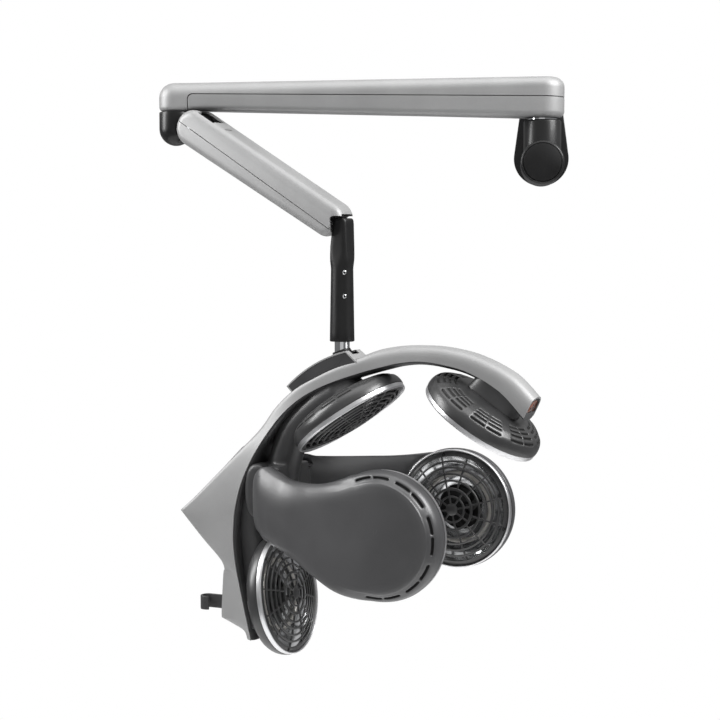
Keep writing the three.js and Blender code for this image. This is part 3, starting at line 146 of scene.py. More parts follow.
def makeFinish(name, look):
    material = bpy.data.materials.new(name)
    material.use_nodes = True
    tree, base = material.node_tree, finishBase
    coords = addNode(tree, "TexCoord")
    spot = addNode(tree, "Mapping", {"Scale": look.get("stretch", (1, 1, 1)),
                                     "Vector": coords.outputs["Object"]}).outputs["Vector"]

    # broad unevenness of the moulding or paint
    mottle = addNode(tree, "TexNoise", {"Scale": look["mottle"], "Detail": base.mottleDetail,
                                        "Vector": spot}).outputs["Fac"]
    ramp = addNode(tree, "ValToRGB", {"Fac": mottle})
    for stop, side, position in zip(ramp.color_ramp.elements, (-1, 1), base.mottleStops):
        stop.color = [c * (1 + side * look["spread"]) for c in look["color"]] + [1]
        stop.position = position
    color = ramp.outputs["Color"]

    if "flake" in look:  # fine metal flakes in the paint
        flake = addNode(tree, "TexVoronoi", {"Scale": base.flakeScale, "Vector": spot})
        lift = addNode(tree, "MixRGB", {"Fac": look["flake"], "Color1": color,
                                        "Color2": flake.outputs["Color"]})
        lift.blend_type = "OVERLAY"
        color = addNode(tree, "HueSaturation", {"Saturation": base.flakeTint,
                                                "Color": lift.outputs["Color"]}).outputs["Color"]
    if "edge" in look:  # rubbed edges
        shape = addNode(tree, "NewGeometry")
        reach = addNode(tree, "MapRange", {"From Min": base.rubFrom, "From Max": base.rubTo,
                                           "Value": shape.outputs["Pointiness"]})
        rub = addNode(tree, "MixRGB", {"Fac": reach.outputs["Result"], "Color1": color,
                                       "Color2": [look["edge"]] * 3 + [1]})
        rub.blend_type = "ADD"
        color = rub.outputs["Color"]

    low, high = (look["rough"] * f for f in base.glossSpread)
    gloss = addNode(tree, "MapRange", {"To Min": low, "To Max": high, "Value": mottle})
    grain = addNode(tree, "TexNoise", {"Scale": look["grain"], "Detail": base.grainDetail,
                                       "Vector": spot})  # texture of the surface itself
    bump = addNode(tree, "Bump", {"Strength": look["bump"], "Distance": base.bumpHeight,
                                  "Height": grain.outputs["Fac"]})
    setSockets(tree, tree.nodes["Principled BSDF"], {
        "Base Color": color, "Metallic": look.get("metal", 0),
        "Specular IOR Level": look.get("shine", base.shine),
        "Roughness": gloss.outputs["Result"], "Normal": bump.outputs["Normal"],
        "Coat Weight": look.get("coat", 0), "Coat Roughness": base.coatRough})
    return material


finishes = {name: makeFinish(name, look) for name, look in finishLooks.items()}
slotFinish = {}  # the first finish of a slot also dresses the solids
for finishName, finishLook in finishLooks.items():
    slotFinish.setdefault(finishLook["slot"], finishName)
for part in frame["record"]["subparts"]:
    data = nodes[part["node"]].data
    data.materials.clear()
    data.materials.append(finishes[slotFinish[part["material_slot"]]])
print("finishes made:", len(finishes))


# shapes as (points, faces), in millimetres in a piece's own place
def mixed(a, b, t):
    return a + (b - a) * t


def arc(cx, cz, radius, start, end, steps):
    turn = [rad(start + (end - start) * k / steps) for k in range(steps + 1)]
    return [(cx + radius * cos(a), cz + radius * sin(a)) for a in turn]


def bridge(a, b):
    n = max(len(a), len(b))
    faces = []
    for k in range(n):
        j = (k + 1) % n
        corners = [a[k % len(a)], a[j % len(a)], b[j % len(b)], b[k % len(b)]]
        face = [v for i, v in enumerate(corners) if v not in corners[:i]]
        if len(face) > 2:
            faces.append(face)
    return faces


def lathe(profile, steps=96, loop=False):
    points, rings = [], []
    for r, z in profile:
        if r < 1e-6:
            rings.append([len(points)])
            points.append((0.0, 0.0, z))
        else:
            rings.append(list(range(len(points), len(points) + steps)))
            points += [(r * cos(a), r * sin(a), z)
                       for a in (2 * pi * k / steps for k in range(steps))]
    follow = rings[1:] + ([rings[0]] if loop else [])
    return points, [face for a, b in zip(rings, follow) for face in bridge(a, b)]


def loft(loops, ends=True):
    n = len(loops[0])
    rings = [list(range(i * n, (i + 1) * n)) for i in range(len(loops))]
    faces = [face for a, b in zip(rings, rings[1:]) for face in bridge(a, b)]
    if ends:
        faces += [rings[0][::-1], rings[-1]]
    return [p for loop in loops for p in loop], faces


def slab(outline, y0, y1):
    return loft([[(x, y, z) for x, z in outline] for y in (y0, y1)])


def plate(outline, z0, z1):
    return loft([[(x, y, z) for x, y in outline] for z in (z0, z1)])


def block(x0, x1, y0, y1, z0, z1):
    return slab([(x0, z0), (x1, z0), (x1, z1), (x0, z1)], y0, y1)


def rod(radius, z0, z1, steps=48, lip=((0, 0),)):  # lip: how far in and down from the top's corner
    edge = [(radius - a, z1 - b) for a, b in lip]
    return lathe([(0, z0), (radius, z0), *edge, (0, z1)], steps)


def crossRod(radius, y0, y1, x=0.0, z=0.0, steps=64):
    return slab(arc(x, z, radius, 0, 360 - 360 / steps, steps - 1), y0, y1)


def tube(path, radius, sides=24, ends=True, up=Vector((0, 1, 0))):
    loops = []
    for i, p in enumerate(path):
        along = (Vector(path[min(i + 1, len(path) - 1)]) - Vector(path[max(i - 1, 0)])).normalized()
        side = along.cross(up).normalized()
        over = side.cross(along)
        ring = [2 * pi * k / sides for k in range(sides)]
        loops.append([tuple(Vector(p) + side * radius * cos(a) + over * radius * sin(a)) for a in ring])
    return loft(loops, ends)


def moved(shape, matrix):
    return [tuple(matrix @ Vector(p)) for p in shape[0]], shape[1]


def merge(*shapes):
    points, faces = [], []
    for p, f in shapes:
        start = len(points)
        points += p
        faces += [[i + start for i in face] for face in f]
    return points, faces


def along(rows, t):
    k = min(max(int(t), 0), len(rows) - 2)
    f = t - k
    p = [rows[min(max(k + d, 0), len(rows) - 1)] for d in (-1, 0, 1, 2)]
    return tuple(0.5 * (2 * b + (c - a) * f + (2 * a - 5 * b + 4 * c - d) * f * f
                        + (3 * b - a - 3 * c + d) * f ** 3) for a, b, c, d in zip(*p))


def smoothRun(rows, steps):
    return [along(rows, i / steps) for i in range((len(rows) - 1) * steps + 1)]


# objects
def addObject(name, data):
    obj = bpy.data.objects.new(name, data)
    bpy.context.scene.collection.objects.link(obj)
    return obj


def rawObject(name, shape, place):
    data = bpy.data.meshes.new(name)
    data.from_pydata([place @ (Vector(p) * mm) for p in shape[0]], [], shape[1])
    bm = bmesh.new()
    bm.from_mesh(data)
    bmesh.ops.remove_doubles(bm, verts=bm.verts, dist=weldGap)
    bmesh.ops.recalc_face_normals(bm, faces=bm.faces)
    bm.to_mesh(data)
    bm.free()
    return addObject(name, data)


def applied(obj):
    bpy.context.view_layer.update()
    fresh = bpy.data.meshes.new_from_object(obj.evaluated_get(bpy.context.evaluated_depsgraph_get()))
    obj.modifiers.clear()
    old = obj.data
    obj.data = fresh
    bpy.data.meshes.remove(old)
    fresh.name = obj.name
    return obj


def carve(obj, shape, place, how="DIFFERENCE"):
    knife = rawObject("knife", shape, place)
    step = obj.modifiers.new("carve", "BOOLEAN")
    step.operation = how
    step.solver = "EXACT"
    step.object = knife
    applied(obj)
    data = knife.data
    bpy.data.objects.remove(knife)
    bpy.data.meshes.remove(data)
    return obj


def bevelled(obj, width, segments, angle):
    step = obj.modifiers.new("edges", "BEVEL")
    step.width = width * mm
    step.segments = segments
    step.limit_method = "ANGLE"
    step.angle_limit = rad(angle)
    return obj


def softened(obj, width, angle=35):
    return applied(bevelled(obj, width, segments=3, angle=angle))


def dress(obj, body, finish, *stands, angle=35):
    data = obj.data
    if not any(data.materials):
        data.materials.append(finishes[finish])
    for polygon in data.polygons:
        polygon.use_smooth = True
    data.set_sharp_from_angle(angle=rad(angle))
    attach(obj, body)
    if stands:
        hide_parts(*stands)
    return obj


def piece(name, shape, place, body, finish, *stands, edge=0.0, angle=35):
    obj = rawObject(name, shape, place)
    if edge:
        softened(obj, edge)
    return dress(obj, body, finish, *stands, angle=angle)


def pocketed(name, shape, place, groups, depth, finish):
    bm = bmesh.new()
    points = [bm.verts.new(place @ (Vector(p) * mm)) for p in shape[0]]
    faces = [bm.faces.new([points[i] for i in face]) for face in shape[1]]
    bmesh.ops.recalc_face_normals(bm, faces=bm.faces)
    for group in groups:
        picked = [faces[i] for i in group]
        inward = sum((f.normal for f in picked), Vector()).normalized() * -depth * mm
        made = bmesh.ops.extrude_face_region(bm, geom=picked)["geom"]
        bmesh.ops.delete(bm, geom=[f for f in picked if f.is_valid], context="FACES")
        floor = [v for v in made if isinstance(v, bmesh.types.BMVert)]
        bmesh.ops.translate(bm, verts=floor, vec=inward)
        # the pocket walls and floor take the near-black second finish, painted shade where a through vent would
        # show dark
        for v in floor:
            for f in v.link_faces:
                f.material_index = 1
    bmesh.ops.remove_doubles(bm, verts=bm.verts, dist=weldGap)
    data = bpy.data.meshes.new(name)
    bm.to_mesh(data)
    bm.free()
    data.materials.append(finishes[finish])
    data.materials.append(finishes["paintedShadeAndBlack"])
    return addObject(name, data)


def rounded(obj, levels=1):
    step = obj.modifiers.new("round", "SUBSURF")
    step.levels = levels
    step.render_levels = levels
    return obj


def keepNode(name, edge):
    weld = nodes[name].modifiers.new("weld", "WELD")
    weld.merge_threshold = 1e-5
    bevelled(nodes[name], edge, segments=2, angle=40)


# wall bracket
bracketPlan = planDict(
    plateRadius=47.95, plateTopHalf=36, plateTop=92, plateThick=8, plateEdge=1.6,
    stubRadius=37, stubDrop=12, stubBack=-8.3, stubLength=128,
    stubLip=((0, 4), (0.8, 1.6), (2.4, 0.3), (5, 0)),
    reach=94, pillarRadius=32, pillarTop=61, pillarLip=((0, 3.5), (0.8, 1.4), (2.6, 0.2), (6, 0)),
    spigotRadius=14, spigotTop=99, spigotLip=((0, 1.5), (1.5, 0)), capRadius=34.5, capDome=12,
    capLip=((0, 0.3), (0.5, 0.37), (1.4, 0.4), (2.2, 0.36), (2.9, 0.42)), capRise=(0.48, 0.52),
    capSteps=(0.1, 0.25, 0.45, 0.7, 0.9), washerRadius=24, washerBore=14.6, washerThick=3, washerEdge=0.5,
    gap=0.3)


def buildBracket(plan):
    lean = math.degrees(math.atan2(plan.plateRadius - plan.plateTopHalf, plan.plateTop))
    half, high = plan.plateTopHalf, plan.plateTop
    outline = [(-half, high), *arc(0, 0, plan.plateRadius, 180 - lean, 360 + lean, 72), (half, high)]
    piece("wallPlate", slab(outline, -plan.plateThick, 0), wallPlace, "wall_bracket", "blackMetal",
          "wall_plate", edge=plan.plateEdge)
    low, top = -plan.stubDrop, plan.pillarTop
    stub = moved(rod(plan.stubRadius, 0, plan.stubLength, 96, plan.stubLip),
                 shift(0, plan.stubBack, low) @ turned(90, "X"))
    pillar = rod(plan.pillarRadius, low, top, 96, plan.pillarLip)
    spigot = rod(plan.spigotRadius, top - 2, plan.spigotTop, 48, plan.spigotLip)
    upright = moved(merge(pillar, spigot), shift(0, -plan.reach, 0))
    piece("bracketBody", merge(stub, upright), wallPlace, "wall_bracket", "blackMetal", "bracket_body")
    c, dome, (start, rise) = plan.capRadius, plan.capDome, plan.capRise
    lip = [(c - a, dome * b) for a, b in plan.capLip]
    crown = [(c * (1 - f), dome * (start + rise * sin(pi / 2 * f))) for f in plan.capSteps]
    lie = shift(0, plan.stubBack - plan.stubLength - plan.gap, low) @ turned(90, "X")
    cap = moved(lathe([(0, 0), (c, 0), *lip, *crown, (0, dome)]), lie)
    piece("bracketCap", cap, wallPlace, "wall_bracket", "blackPlastic", "bracket_cap")
    w, bore, thick, e = plan.washerRadius, plan.washerBore, plan.washerThick, plan.washerEdge
    ring = lathe([(bore, 0), (w - e, 0), (w, e), (w, thick - e), (w - e, thick), (bore, thick)], loop=True)
    piece("pivotWasher", moved(ring, shift(0, -plan.reach, top + plan.gap)), wallPlace, "wall_bracket",
          "chrome", "pivot_washer")


buildBracket(bracketPlan)
print("bracket done")


# upper arm: level outlines stacked from the underside to the top
upperPlan = planDict(
    length=633, rootRadius=37, tipRadius=28.98, tipSide=26.6, sideEnd=600, rootTop=69, tipTop=64,
    sideBottom=18.5, tipBottom=14.4, topRound=(18, 26), bottomRound=(11, 8), seamRoot=35, seamTip=44,
    seamCorner=9, seamGap=0.7, seamPast=4, stepHalf=4)


def upperOutline(plan, inset):
    outline = arc(0, 0, plan.rootRadius - inset, 90, 270, 36)
    for k in range(1, 11):
        side = plan.rootRadius + (plan.tipSide - plan.rootRadius) * k / 10
        outline.append((plan.sideEnd * k / 10, -(side - inset)))
    outline += arc(plan.length, 0, plan.tipRadius - inset, -98, 98, 40)
    outline += [(x, -y) for x, y in outline[46:36:-1]]
    return outline


def upperSolid(plan):
    levels = [(1 - sin(rad(10 * k)), 1 - cos(rad(10 * k)), 0) for k in range(10)]
    levels += [(1 - cos(rad(9 * k)), sin(rad(9 * k)) - 1, 1) for k in range(11)]
    flat = upperOutline(plan, 0)
    loops = []
    for inset, lift, top in levels:
        loop = []
        for k, (x, _) in enumerate(flat):
            t = min(max(x / plan.length, 0), 1)
            soft = mixed(*(plan.topRound if top else plan.bottomRound), t)
            px, py = upperOutline(plan, inset * soft)[k]
            if top:
                base = mixed(plan.rootTop, plan.tipTop, t)
            else:
                into = min(max((x - plan.sideEnd + plan.stepHalf) / (2 * plan.stepHalf), 0), 1)
                base = mixed(plan.sideBottom * t, plan.tipBottom, into)
            loop.append((px, py, base + lift * soft))
        loops.append(loop)
    return loft(loops)


def upperSeam(plan, grow):  # a cutter that reaches past the arm
    end = plan.length - plan.tipRadius + plan.seamPast + grow
    slope = (plan.seamTip - plan.seamRoot) / plan.length
    corner = plan.seamCorner
    edge = plan.seamRoot + slope * end + grow
    outline = [(-90, -80), (end, -80)] + arc(end - corner, edge - corner, corner, 0, 90, 10)
    return slab(outline + [(-90, plan.seamRoot - slope * 90 + grow)], -90, 90)


def buildUpperArm(plan):
    solid = upperSolid(plan)
    for name, grow, how in (("Top", plan.seamGap, "DIFFERENCE"), ("Bottom", -plan.seamGap, "INTERSECT")):
        shell = rawObject("upperArm" + name, solid, upperPlace)
        carve(shell, upperSeam(plan, grow), upperPlace, how)
        dress(shell, "upper_arm", "silverPaint", "upper_arm_" + name.lower() + "_shell")


buildUpperArm(upperPlan)
print("upper arm done")


# elbow knuckle under the housing, with a tongue for the tilt hinge
elbowPlan = planDict(
    radius=29, ahead=48, drop=30, tongueHalf=13, eyeRadius=25, cheekRadius=32.2, spigotRadius=12,
    spigotRise=30, linkRise=13, linkPin=3.2, linkPinEnd=21.5, lip=((1.5, 0), (0.4, -0.5), (0, -1.6)),
    tongueRoot=(-6, -52), tongueTurn=100, tongueEdge=1.2)


def buildElbow(plan):
    r = plan.radius
    belly = [(r * cos(rad(a)), -r - r * sin(rad(a))) for a in range(0, 90, 6)]
    lip = [(r - a, z) for a, z in plan.lip]
    ball = lathe([(0, 0), *lip, *belly, (0, -2 * r)])
    knuckle = rawObject("elbowKnuckle", ball, elbowPlace)
    for y0, y1 in ((plan.tongueHalf, 3 * r), (-3 * r, -plan.tongueHalf)):
        carve(knuckle, crossRod(plan.cheekRadius, y0, y1, plan.ahead, -plan.drop), elbowPlace)
    dress(knuckle, "elbow", "blackMetal", "elbow_knuckle")
    x, z = plan.ahead, -plan.drop
    top, low = plan.tongueRoot
    eye = arc(x, z, plan.eyeRadius, plan.tongueTurn, -plan.tongueTurn, 40)
    tongue = slab([(0, top), *eye, (0, low)], -plan.tongueHalf, plan.tongueHalf)
    piece("elbowTongue", tongue, elbowPlace, "elbow", "blackMetal", edge=plan.tongueEdge)
    spigot = rod(plan.spigotRadius, -1, plan.spigotRise)
    linkPin = crossRod(plan.linkPin, 0, plan.linkPinEnd, x, z + plan.linkRise, 32)
    piece("elbowPins", merge(spigot, linkPin), elbowPlace, "elbow", "steel")
    for name in ("tilt_pin", "level_pin", "wing_left_hinge_pin", "wing_right_hinge_pin"):
        keepNode(name, 0.5)
    keepNode("level_link", 0.6)


buildElbow(elbowPlan)
print("elbow done")


# spring arm: side outlines stacked across its width
springPlan = planDict(
    length=309, rootRadius=31, rootHalf=31, tipRadius=29, tipHalf=28, overrun=2, round=14, wall=3,
    seamTip=-9, seamGap=0.6, rootSlot=29, rootSlotHalf=13.6, tipSlotHalf=17.6, slitAt=60, slitWide=3.5,
    slitRun=(-19, 1), slitDeep=5, mouth=(12.5, 4, 6), mouthEdge=((12, -80), (5, -50), (2.5, -30), (0, -14)),
    window=(0, 36, -23, 13.6, 13), coilRadius=13, coilWire=4, coilTurns=12, coilStart=70, coilLength=150,
    coilSide=-5)


def springSolid(plan, inset):
    r0, r1 = plan.rootRadius - inset, plan.tipRadius - inset
    end = plan.length + plan.overrun
    soft = plan.round - inset
    loops = []
    turns = [(a, -1) for a in range(0, 91, 9)] + [(a, 1) for a in range(81, -1, -9)]
    for a, side in turns:
        shrink = soft * (1 - sin(rad(a)))
        outline = arc(0, 0, r0 - shrink, 90, 270, 32) + arc(end, 0, r1 - shrink, -90, 90, 32)
        loop = []
        for x, z in outline:
            t = min(max(x / end, 0), 1)
            half = mixed(plan.rootHalf, plan.tipHalf, t) - inset
            loop.append((x, side * (half - soft * (1 - cos(rad(a)))), z))
        loops.append(loop)
    return loft(loops)


def springSeam(plan, grow):  # a cutter that reaches past the arm
    slope = plan.seamTip / plan.length
    return slab([(-80, -90), (400, -90), (400, slope * 400 + grow), (-80, -slope * 80 + grow)], -80, 80)


def buildSpringArm(plan):
    upright = shift(plan.length, 0, 0) @ Matrix.Rotation(-springTilt, 4, "Y")
    half = plan.tipSlotHalf
    side, top, corner = plan.mouth
    lip = arc(side + corner, top - corner, corner, 180, 90, 8)
    edge = [(side - back, z) for back, z in plan.mouthEdge]
    mouth = slab([(60, top), (60, -80), *edge, *lip], -60, 60)
    slot = plan.rootSlotHalf
    # the cutters reach past the shells
    cuts = [springSolid(plan, plan.wall), block(-70, plan.rootSlot, -slot, slot, -70, 70),
            block(plan.length - 3, plan.length + 70, -half, half, -70, -plan.tipRadius / 3),
            moved(mouth, upright), moved(block(-5, 60, -half, half, -80, 7), upright),
            block(*plan.window, 60),
            block(plan.slitAt, plan.slitAt + plan.slitWide, *plan.slitRun,
                  plan.rootRadius - plan.slitDeep, 60)]
    whole = rawObject("springArmTop", springSolid(plan, 0), springPlace)
    for shape in cuts:
        carve(whole, shape, springPlace)
    bottom = rawObject("springArmBottom", ([(0, 0, 0)], []), springPlace)
    bottom.data = whole.data.copy()
    carve(whole, springSeam(plan, plan.seamGap), springPlace)
    carve(bottom, springSeam(plan, -plan.seamGap), springPlace, "INTERSECT")
    dress(whole, "spring_arm", "silverPaint", "spring_arm_top_shell")
    dress(bottom, "spring_arm", "silverPaint", "spring_arm_bottom_shell")
    turns, steps = plan.coilTurns, 20
    wire = plan.coilWire
    floor = plan.tipRadius - plan.wall - plan.coilRadius - wire
    path = [(plan.coilStart + wire / 2 + (plan.coilLength - wire) * k / (turns * steps),
             plan.coilSide + plan.coilRadius * cos(2 * pi * k / steps),
             plan.coilRadius * sin(2 * pi * k / steps) - floor) for k in range(turns * steps + 1)]
    coil = tube(path, wire / 2, 10, up=Vector((1, 0, 0)))
    piece("balanceSpring", coil, springPlace, "spring_arm", "steel", "balance_spring")


buildSpringArm(springPlan)
print("spring arm done")


# drop sleeve: round below, a flat-faced tongue above
sleevePlan = planDict(
    ahead=20, drop=202.5, radius=20.5, topRadius=18.5, lip=((0, 1.2), (0.4, 0.4), (1.4, 0)),
    roundTop=-84, flatFrom=-46, flatPower=5.5, tongueMiddle=20.5, tongueDeep=16.2, tongueHalf=16.8,
    topMiddle=22.6, topDeep=12.4, top=0.5,
    crown=((-34, 0), (-22, 0), (-10, 0), (-4, 0.3), (-1.5, 1), (-0.3, 2.2), (0.5, 4)),
    bore=12.9, boreDeep=60, eye=9.5, eyeHalf=15.5, pin=3.2, pinRun=(-8, 21.5), pinRise=13,
    lugHalf=5, lugLong=15, screwRadius=3.3, screwProud=0.7, screwAngle=-48, screwRises=(75, 114),
    screwTaper=(2, 56), screwSocket=((0, -1.4), (1.5, -1.4), (1.7, -0.1), (1.9, 0)),
    screwRim=((0.7, -0.05), (0, -0.6)), screwDeep=4)


def superLoop(cx, hx, hy, power, z, count=64):
    loop = []
    for k in range(count):
        a = 2 * pi * k / count
        c, s = cos(a), sin(a)
        reach = (abs(c) ** power + abs(s) ** power) ** (-1 / power)
        loop.append((cx + hx * reach * c, hy * reach * s, z))
    return loop


def buildSleeve(plan):
    bottom, ahead = -plan.drop, plan.ahead
    rounds = [(bottom + up, plan.radius - pull) for up, pull in plan.lip]
    rounds += [(mixed(bottom, plan.roundTop, f), mixed(plan.radius, plan.topRadius, f))
               for f in (k / 8 for k in range(1, 9))]
    loops = [superLoop(ahead, r, r, 2, z) for z, r in rounds]
    ends = ((ahead, plan.tongueMiddle), (plan.topRadius, plan.tongueDeep),
            (plan.topRadius, plan.tongueHalf), (2, plan.flatPower))
    for f in (k / 12 for k in range(1, 13)):
        section = [mixed(a, b, f * f * (3 - 2 * f)) for a, b in ends]
        loops.append(superLoop(*section, mixed(plan.roundTop, plan.flatFrom, f)))
    for z, pull in plan.crown:
        f = min((z - plan.flatFrom) / (plan.top - plan.flatFrom), 1)
        middle = mixed(plan.tongueMiddle, plan.topMiddle, f)
        deep = mixed(plan.tongueDeep, plan.topDeep, f)
        loops.append(superLoop(middle, deep - pull, plan.tongueHalf - pull / 2, plan.flatPower, z))
    body = rawObject("dropSleeve", loft(loops), sleevePlace)
    bore = moved(rod(plan.bore, bottom - 5, bottom + plan.boreDeep), shift(plan.ahead, 0, 0))
    carve(body, bore, sleevePlace)
    dress(body, "drop_post", "blackPlastic", "drop_sleeve", angle=42)
    eye = crossRod(plan.eye, -plan.eyeHalf, plan.eyeHalf)
    pin = crossRod(plan.pin, *plan.pinRun, 0, plan.pinRise, 32)
    w = plan.lugHalf
    lug = slab([(-w, 0), (w, 0)] + arc(0, plan.pinRise, w, 0, 180, 16), -plan.lugLong, plan.lugLong)
    piece("sleeveEye", merge(eye, pin, lug), sleevePlace, "drop_post", "blackPlastic")
    r, deep, (thin, end) = plan.screwRadius, plan.screwDeep, plan.screwTaper
    rim = [(r - a, z) for a, z in plan.screwRim]
    head = [*plan.screwSocket, *rim, (r, -deep), (0, -deep)]
    for name, rise in zip(("sleeve_screw_lower", "sleeve_screw_upper"), plan.screwRises):
        reach = plan.radius - thin * rise / (plan.drop - end) + plan.screwProud
        turn = turned(plan.screwAngle, "Z") @ turned(90, "Y")
        spot = shift(plan.ahead, 0, rise - plan.drop) @ turn @ shift(0, 0, reach)
        screw = moved(lathe(head, 36), spot)
        piece("sleeveScrew" + name[13:].capitalize(), screw, sleevePlace, "drop_post", "chrome", name)


buildSleeve(sleevePlan)
print("sleeve done")


# chrome post and its sliding foot
postPlan = planDict(radius=12.5, wall=2.5, top=139.5, seat=5.0, slope=0.3405)


def buildPost(plan):
    r, inner = plan.radius, plan.radius - plan.wall
    points, faces = lathe([(inner, plan.seat), (r, plan.seat), (r, plan.top), (inner, plan.top)],
                          72, loop=True)
    points = [(x, y, z + x * plan.slope if z < plan.seat + 1 else z) for x, y, z in points]
    piece("postTube", (points, faces), headPlace, "post", "chrome", "post_tube")
    keepNode("post_foot", 0.8)


buildPost(postPlan)


# spine shell: stations as in the solid, from the sensor end to the tail
spinePlan = planDict(
    wall=3, steps=5, corners=(16, 22),
    rows=[
        (326, -92, 342, -60, 25, 25, 20), (287, -52, 304, -25, 26, 26, 18), (236, -24, 247, 2, 26, 26, 17),
        (189, -12, 193, 14, 26, 26, 16), (149, -8, 148, 16, 27, 27, 16), (112, -12, 108, 14, 28, 28, 16),
        (79, -20, 71, 7, 28, 28, 15), (44, -30, 35, -7, 29, 29, 12), (7, -42, 0, -21, 30, 30, 9),
        (-28, -56, -36, -38, 30, 30, 8), (-64, -76, -74, -59, 32, 30, 8), (-96, -104, -110, -91, 36, 31, 8),
        (-124, -140, -139, -129, 40, 32, 8), (-149, -180, -174, -165, 43, 37, 8),
        (-168, -222, -214, -205, 45, 42, 8), (-179, -264, -257, -248, 46, 47, 8),
        (-182, -290, -286, -274, 46, 49, 8), (-183, -322, -245, -320, 46, 46, 8),
        (-181, -354, -214, -354, 44, 41, 8), (-179, -372, -209, -372, 42, 34, 7),
        (-177, -384, -217, -384, 41, 23, 6), (-167, -442, -222, -444, 36, 20, 5),
        (-164, -458, -222, -460, 34, 20, 5), (-162, -470, -201, -468, 33, 20, 5),
        (-160, -480, -177, -478, 32, 22, 4), (-158, -492, -169, -492, 31, 24, 3)],
    tiltCentre=(74, -217), railAngles=(102.6, 129), shoeFloor=13.5, shoeHalf=22.1,
    fascia=(120, 60), fasciaRows=(16, 12), switch=(20, 14), switchRows=(18, 16),
    fasciaCut=(0.4, -7), switchCut=(0.6, -9), cutTop=12, shoeRoom=(10, 2.4), crownRise=0.6,
)


def spineStations(plan):
    rows = plan.rows
    stops = [0, *plan.corners, len(rows) - 1]
    edges = smoothRun([r[:2] for r in rows], plan.steps)
    rest = []
    for a, b in zip(stops, stops[1:]):
        rest += smoothRun([r[2:] for r in rows[a:b + 1]], plan.steps)[(1 if a else 0):]
    return [tuple(e) + tuple(c) for e, c in zip(edges, rest)]


def spineSection(row, inset, floor):
    ex, ez, cx, cz, edgeHalf, crownHalf, rounding = row
    depth = hypot(cx - ex, cz - ez)
    dx, dz = (cx - ex) / depth, (cz - ez) / depth
    top = depth - inset

    def half(t):
        return edgeHalf + (crownHalf - edgeHalf) * t / depth - inset

    r = max(min(rounding - inset, top - floor - 1), 0.5)
    side = [(t, half(t)) for t in (floor + (top - r - floor) * k / 3 for k in range(3))]
    ends = ((top - r, half(top - r)), (top, half(top)), (top, half(top) - r))
    for f in (k / 6 for k in range(7)):
        side.append(tuple((1 - f) ** 2 * a + 2 * f * (1 - f) * b + f * f * c for a, b, c in zip(*ends)))
    side.append((top + spinePlan.crownRise, side[-1][1] / 2))
    whole = side + [(t, -y) for t, y in side[::-1]]
    return [(ex + dx * t, y, ez + dz * t) for t, y in whole]


def facePlace(plan, start, end):
    a, b = (Vector((plan.rows[k][2], 0, plan.rows[k][3])) for k in (start, end))
    run = (b - a).normalized()
    across = Vector((0, 1, 0))
    out = run.cross(across).normalized()
    turn = Matrix((run, across, out)).transposed().to_4x4()
    return Matrix.Translation((a + b) / 2) @ turn


spineRun = spineStations(spinePlan)
fasciaPlace = facePlace(spinePlan, *spinePlan.fasciaRows)
switchPlace = facePlace(spinePlan, *spinePlan.switchRows)


def buildSpine(plan):
    loops = [spineSection(row, 0, 0) + spineSection(row, plan.wall, 0)[::-1] for row in spineRun]
    shell = rawObject("spineShell", loft(loops), headPlace)
    for (length, wide), (gap, floor), place in ((plan.fascia, plan.fasciaCut, fasciaPlace),
                                                (plan.switch, plan.switchCut, switchPlace)):
        x, y = length / 2 + gap, wide / 2 + gap
        carve(shell, moved(block(-x, x, -y, y, floor, plan.cutTop), place), headPlace)
    cx, cz = plan.tiltCentre
    radius = hypot(cx, cz)
    (a, b), (above, below) = plan.railAngles, plan.shoeRoom
    room = arc(cx, cz, radius + above, a, b, 16) + arc(cx, cz, radius - plan.shoeFloor - below, b, a, 16)
    carve(shell, slab(room, -plan.shoeHalf, plan.shoeHalf), headPlace)
    dress(shell, "head", "silverShell", "spine_shell", angle=40)
    for name in ("neck_block", "neck_strap"):
        keepNode(name, 1.0)


buildSpine(spinePlan)
print("spine shell done")


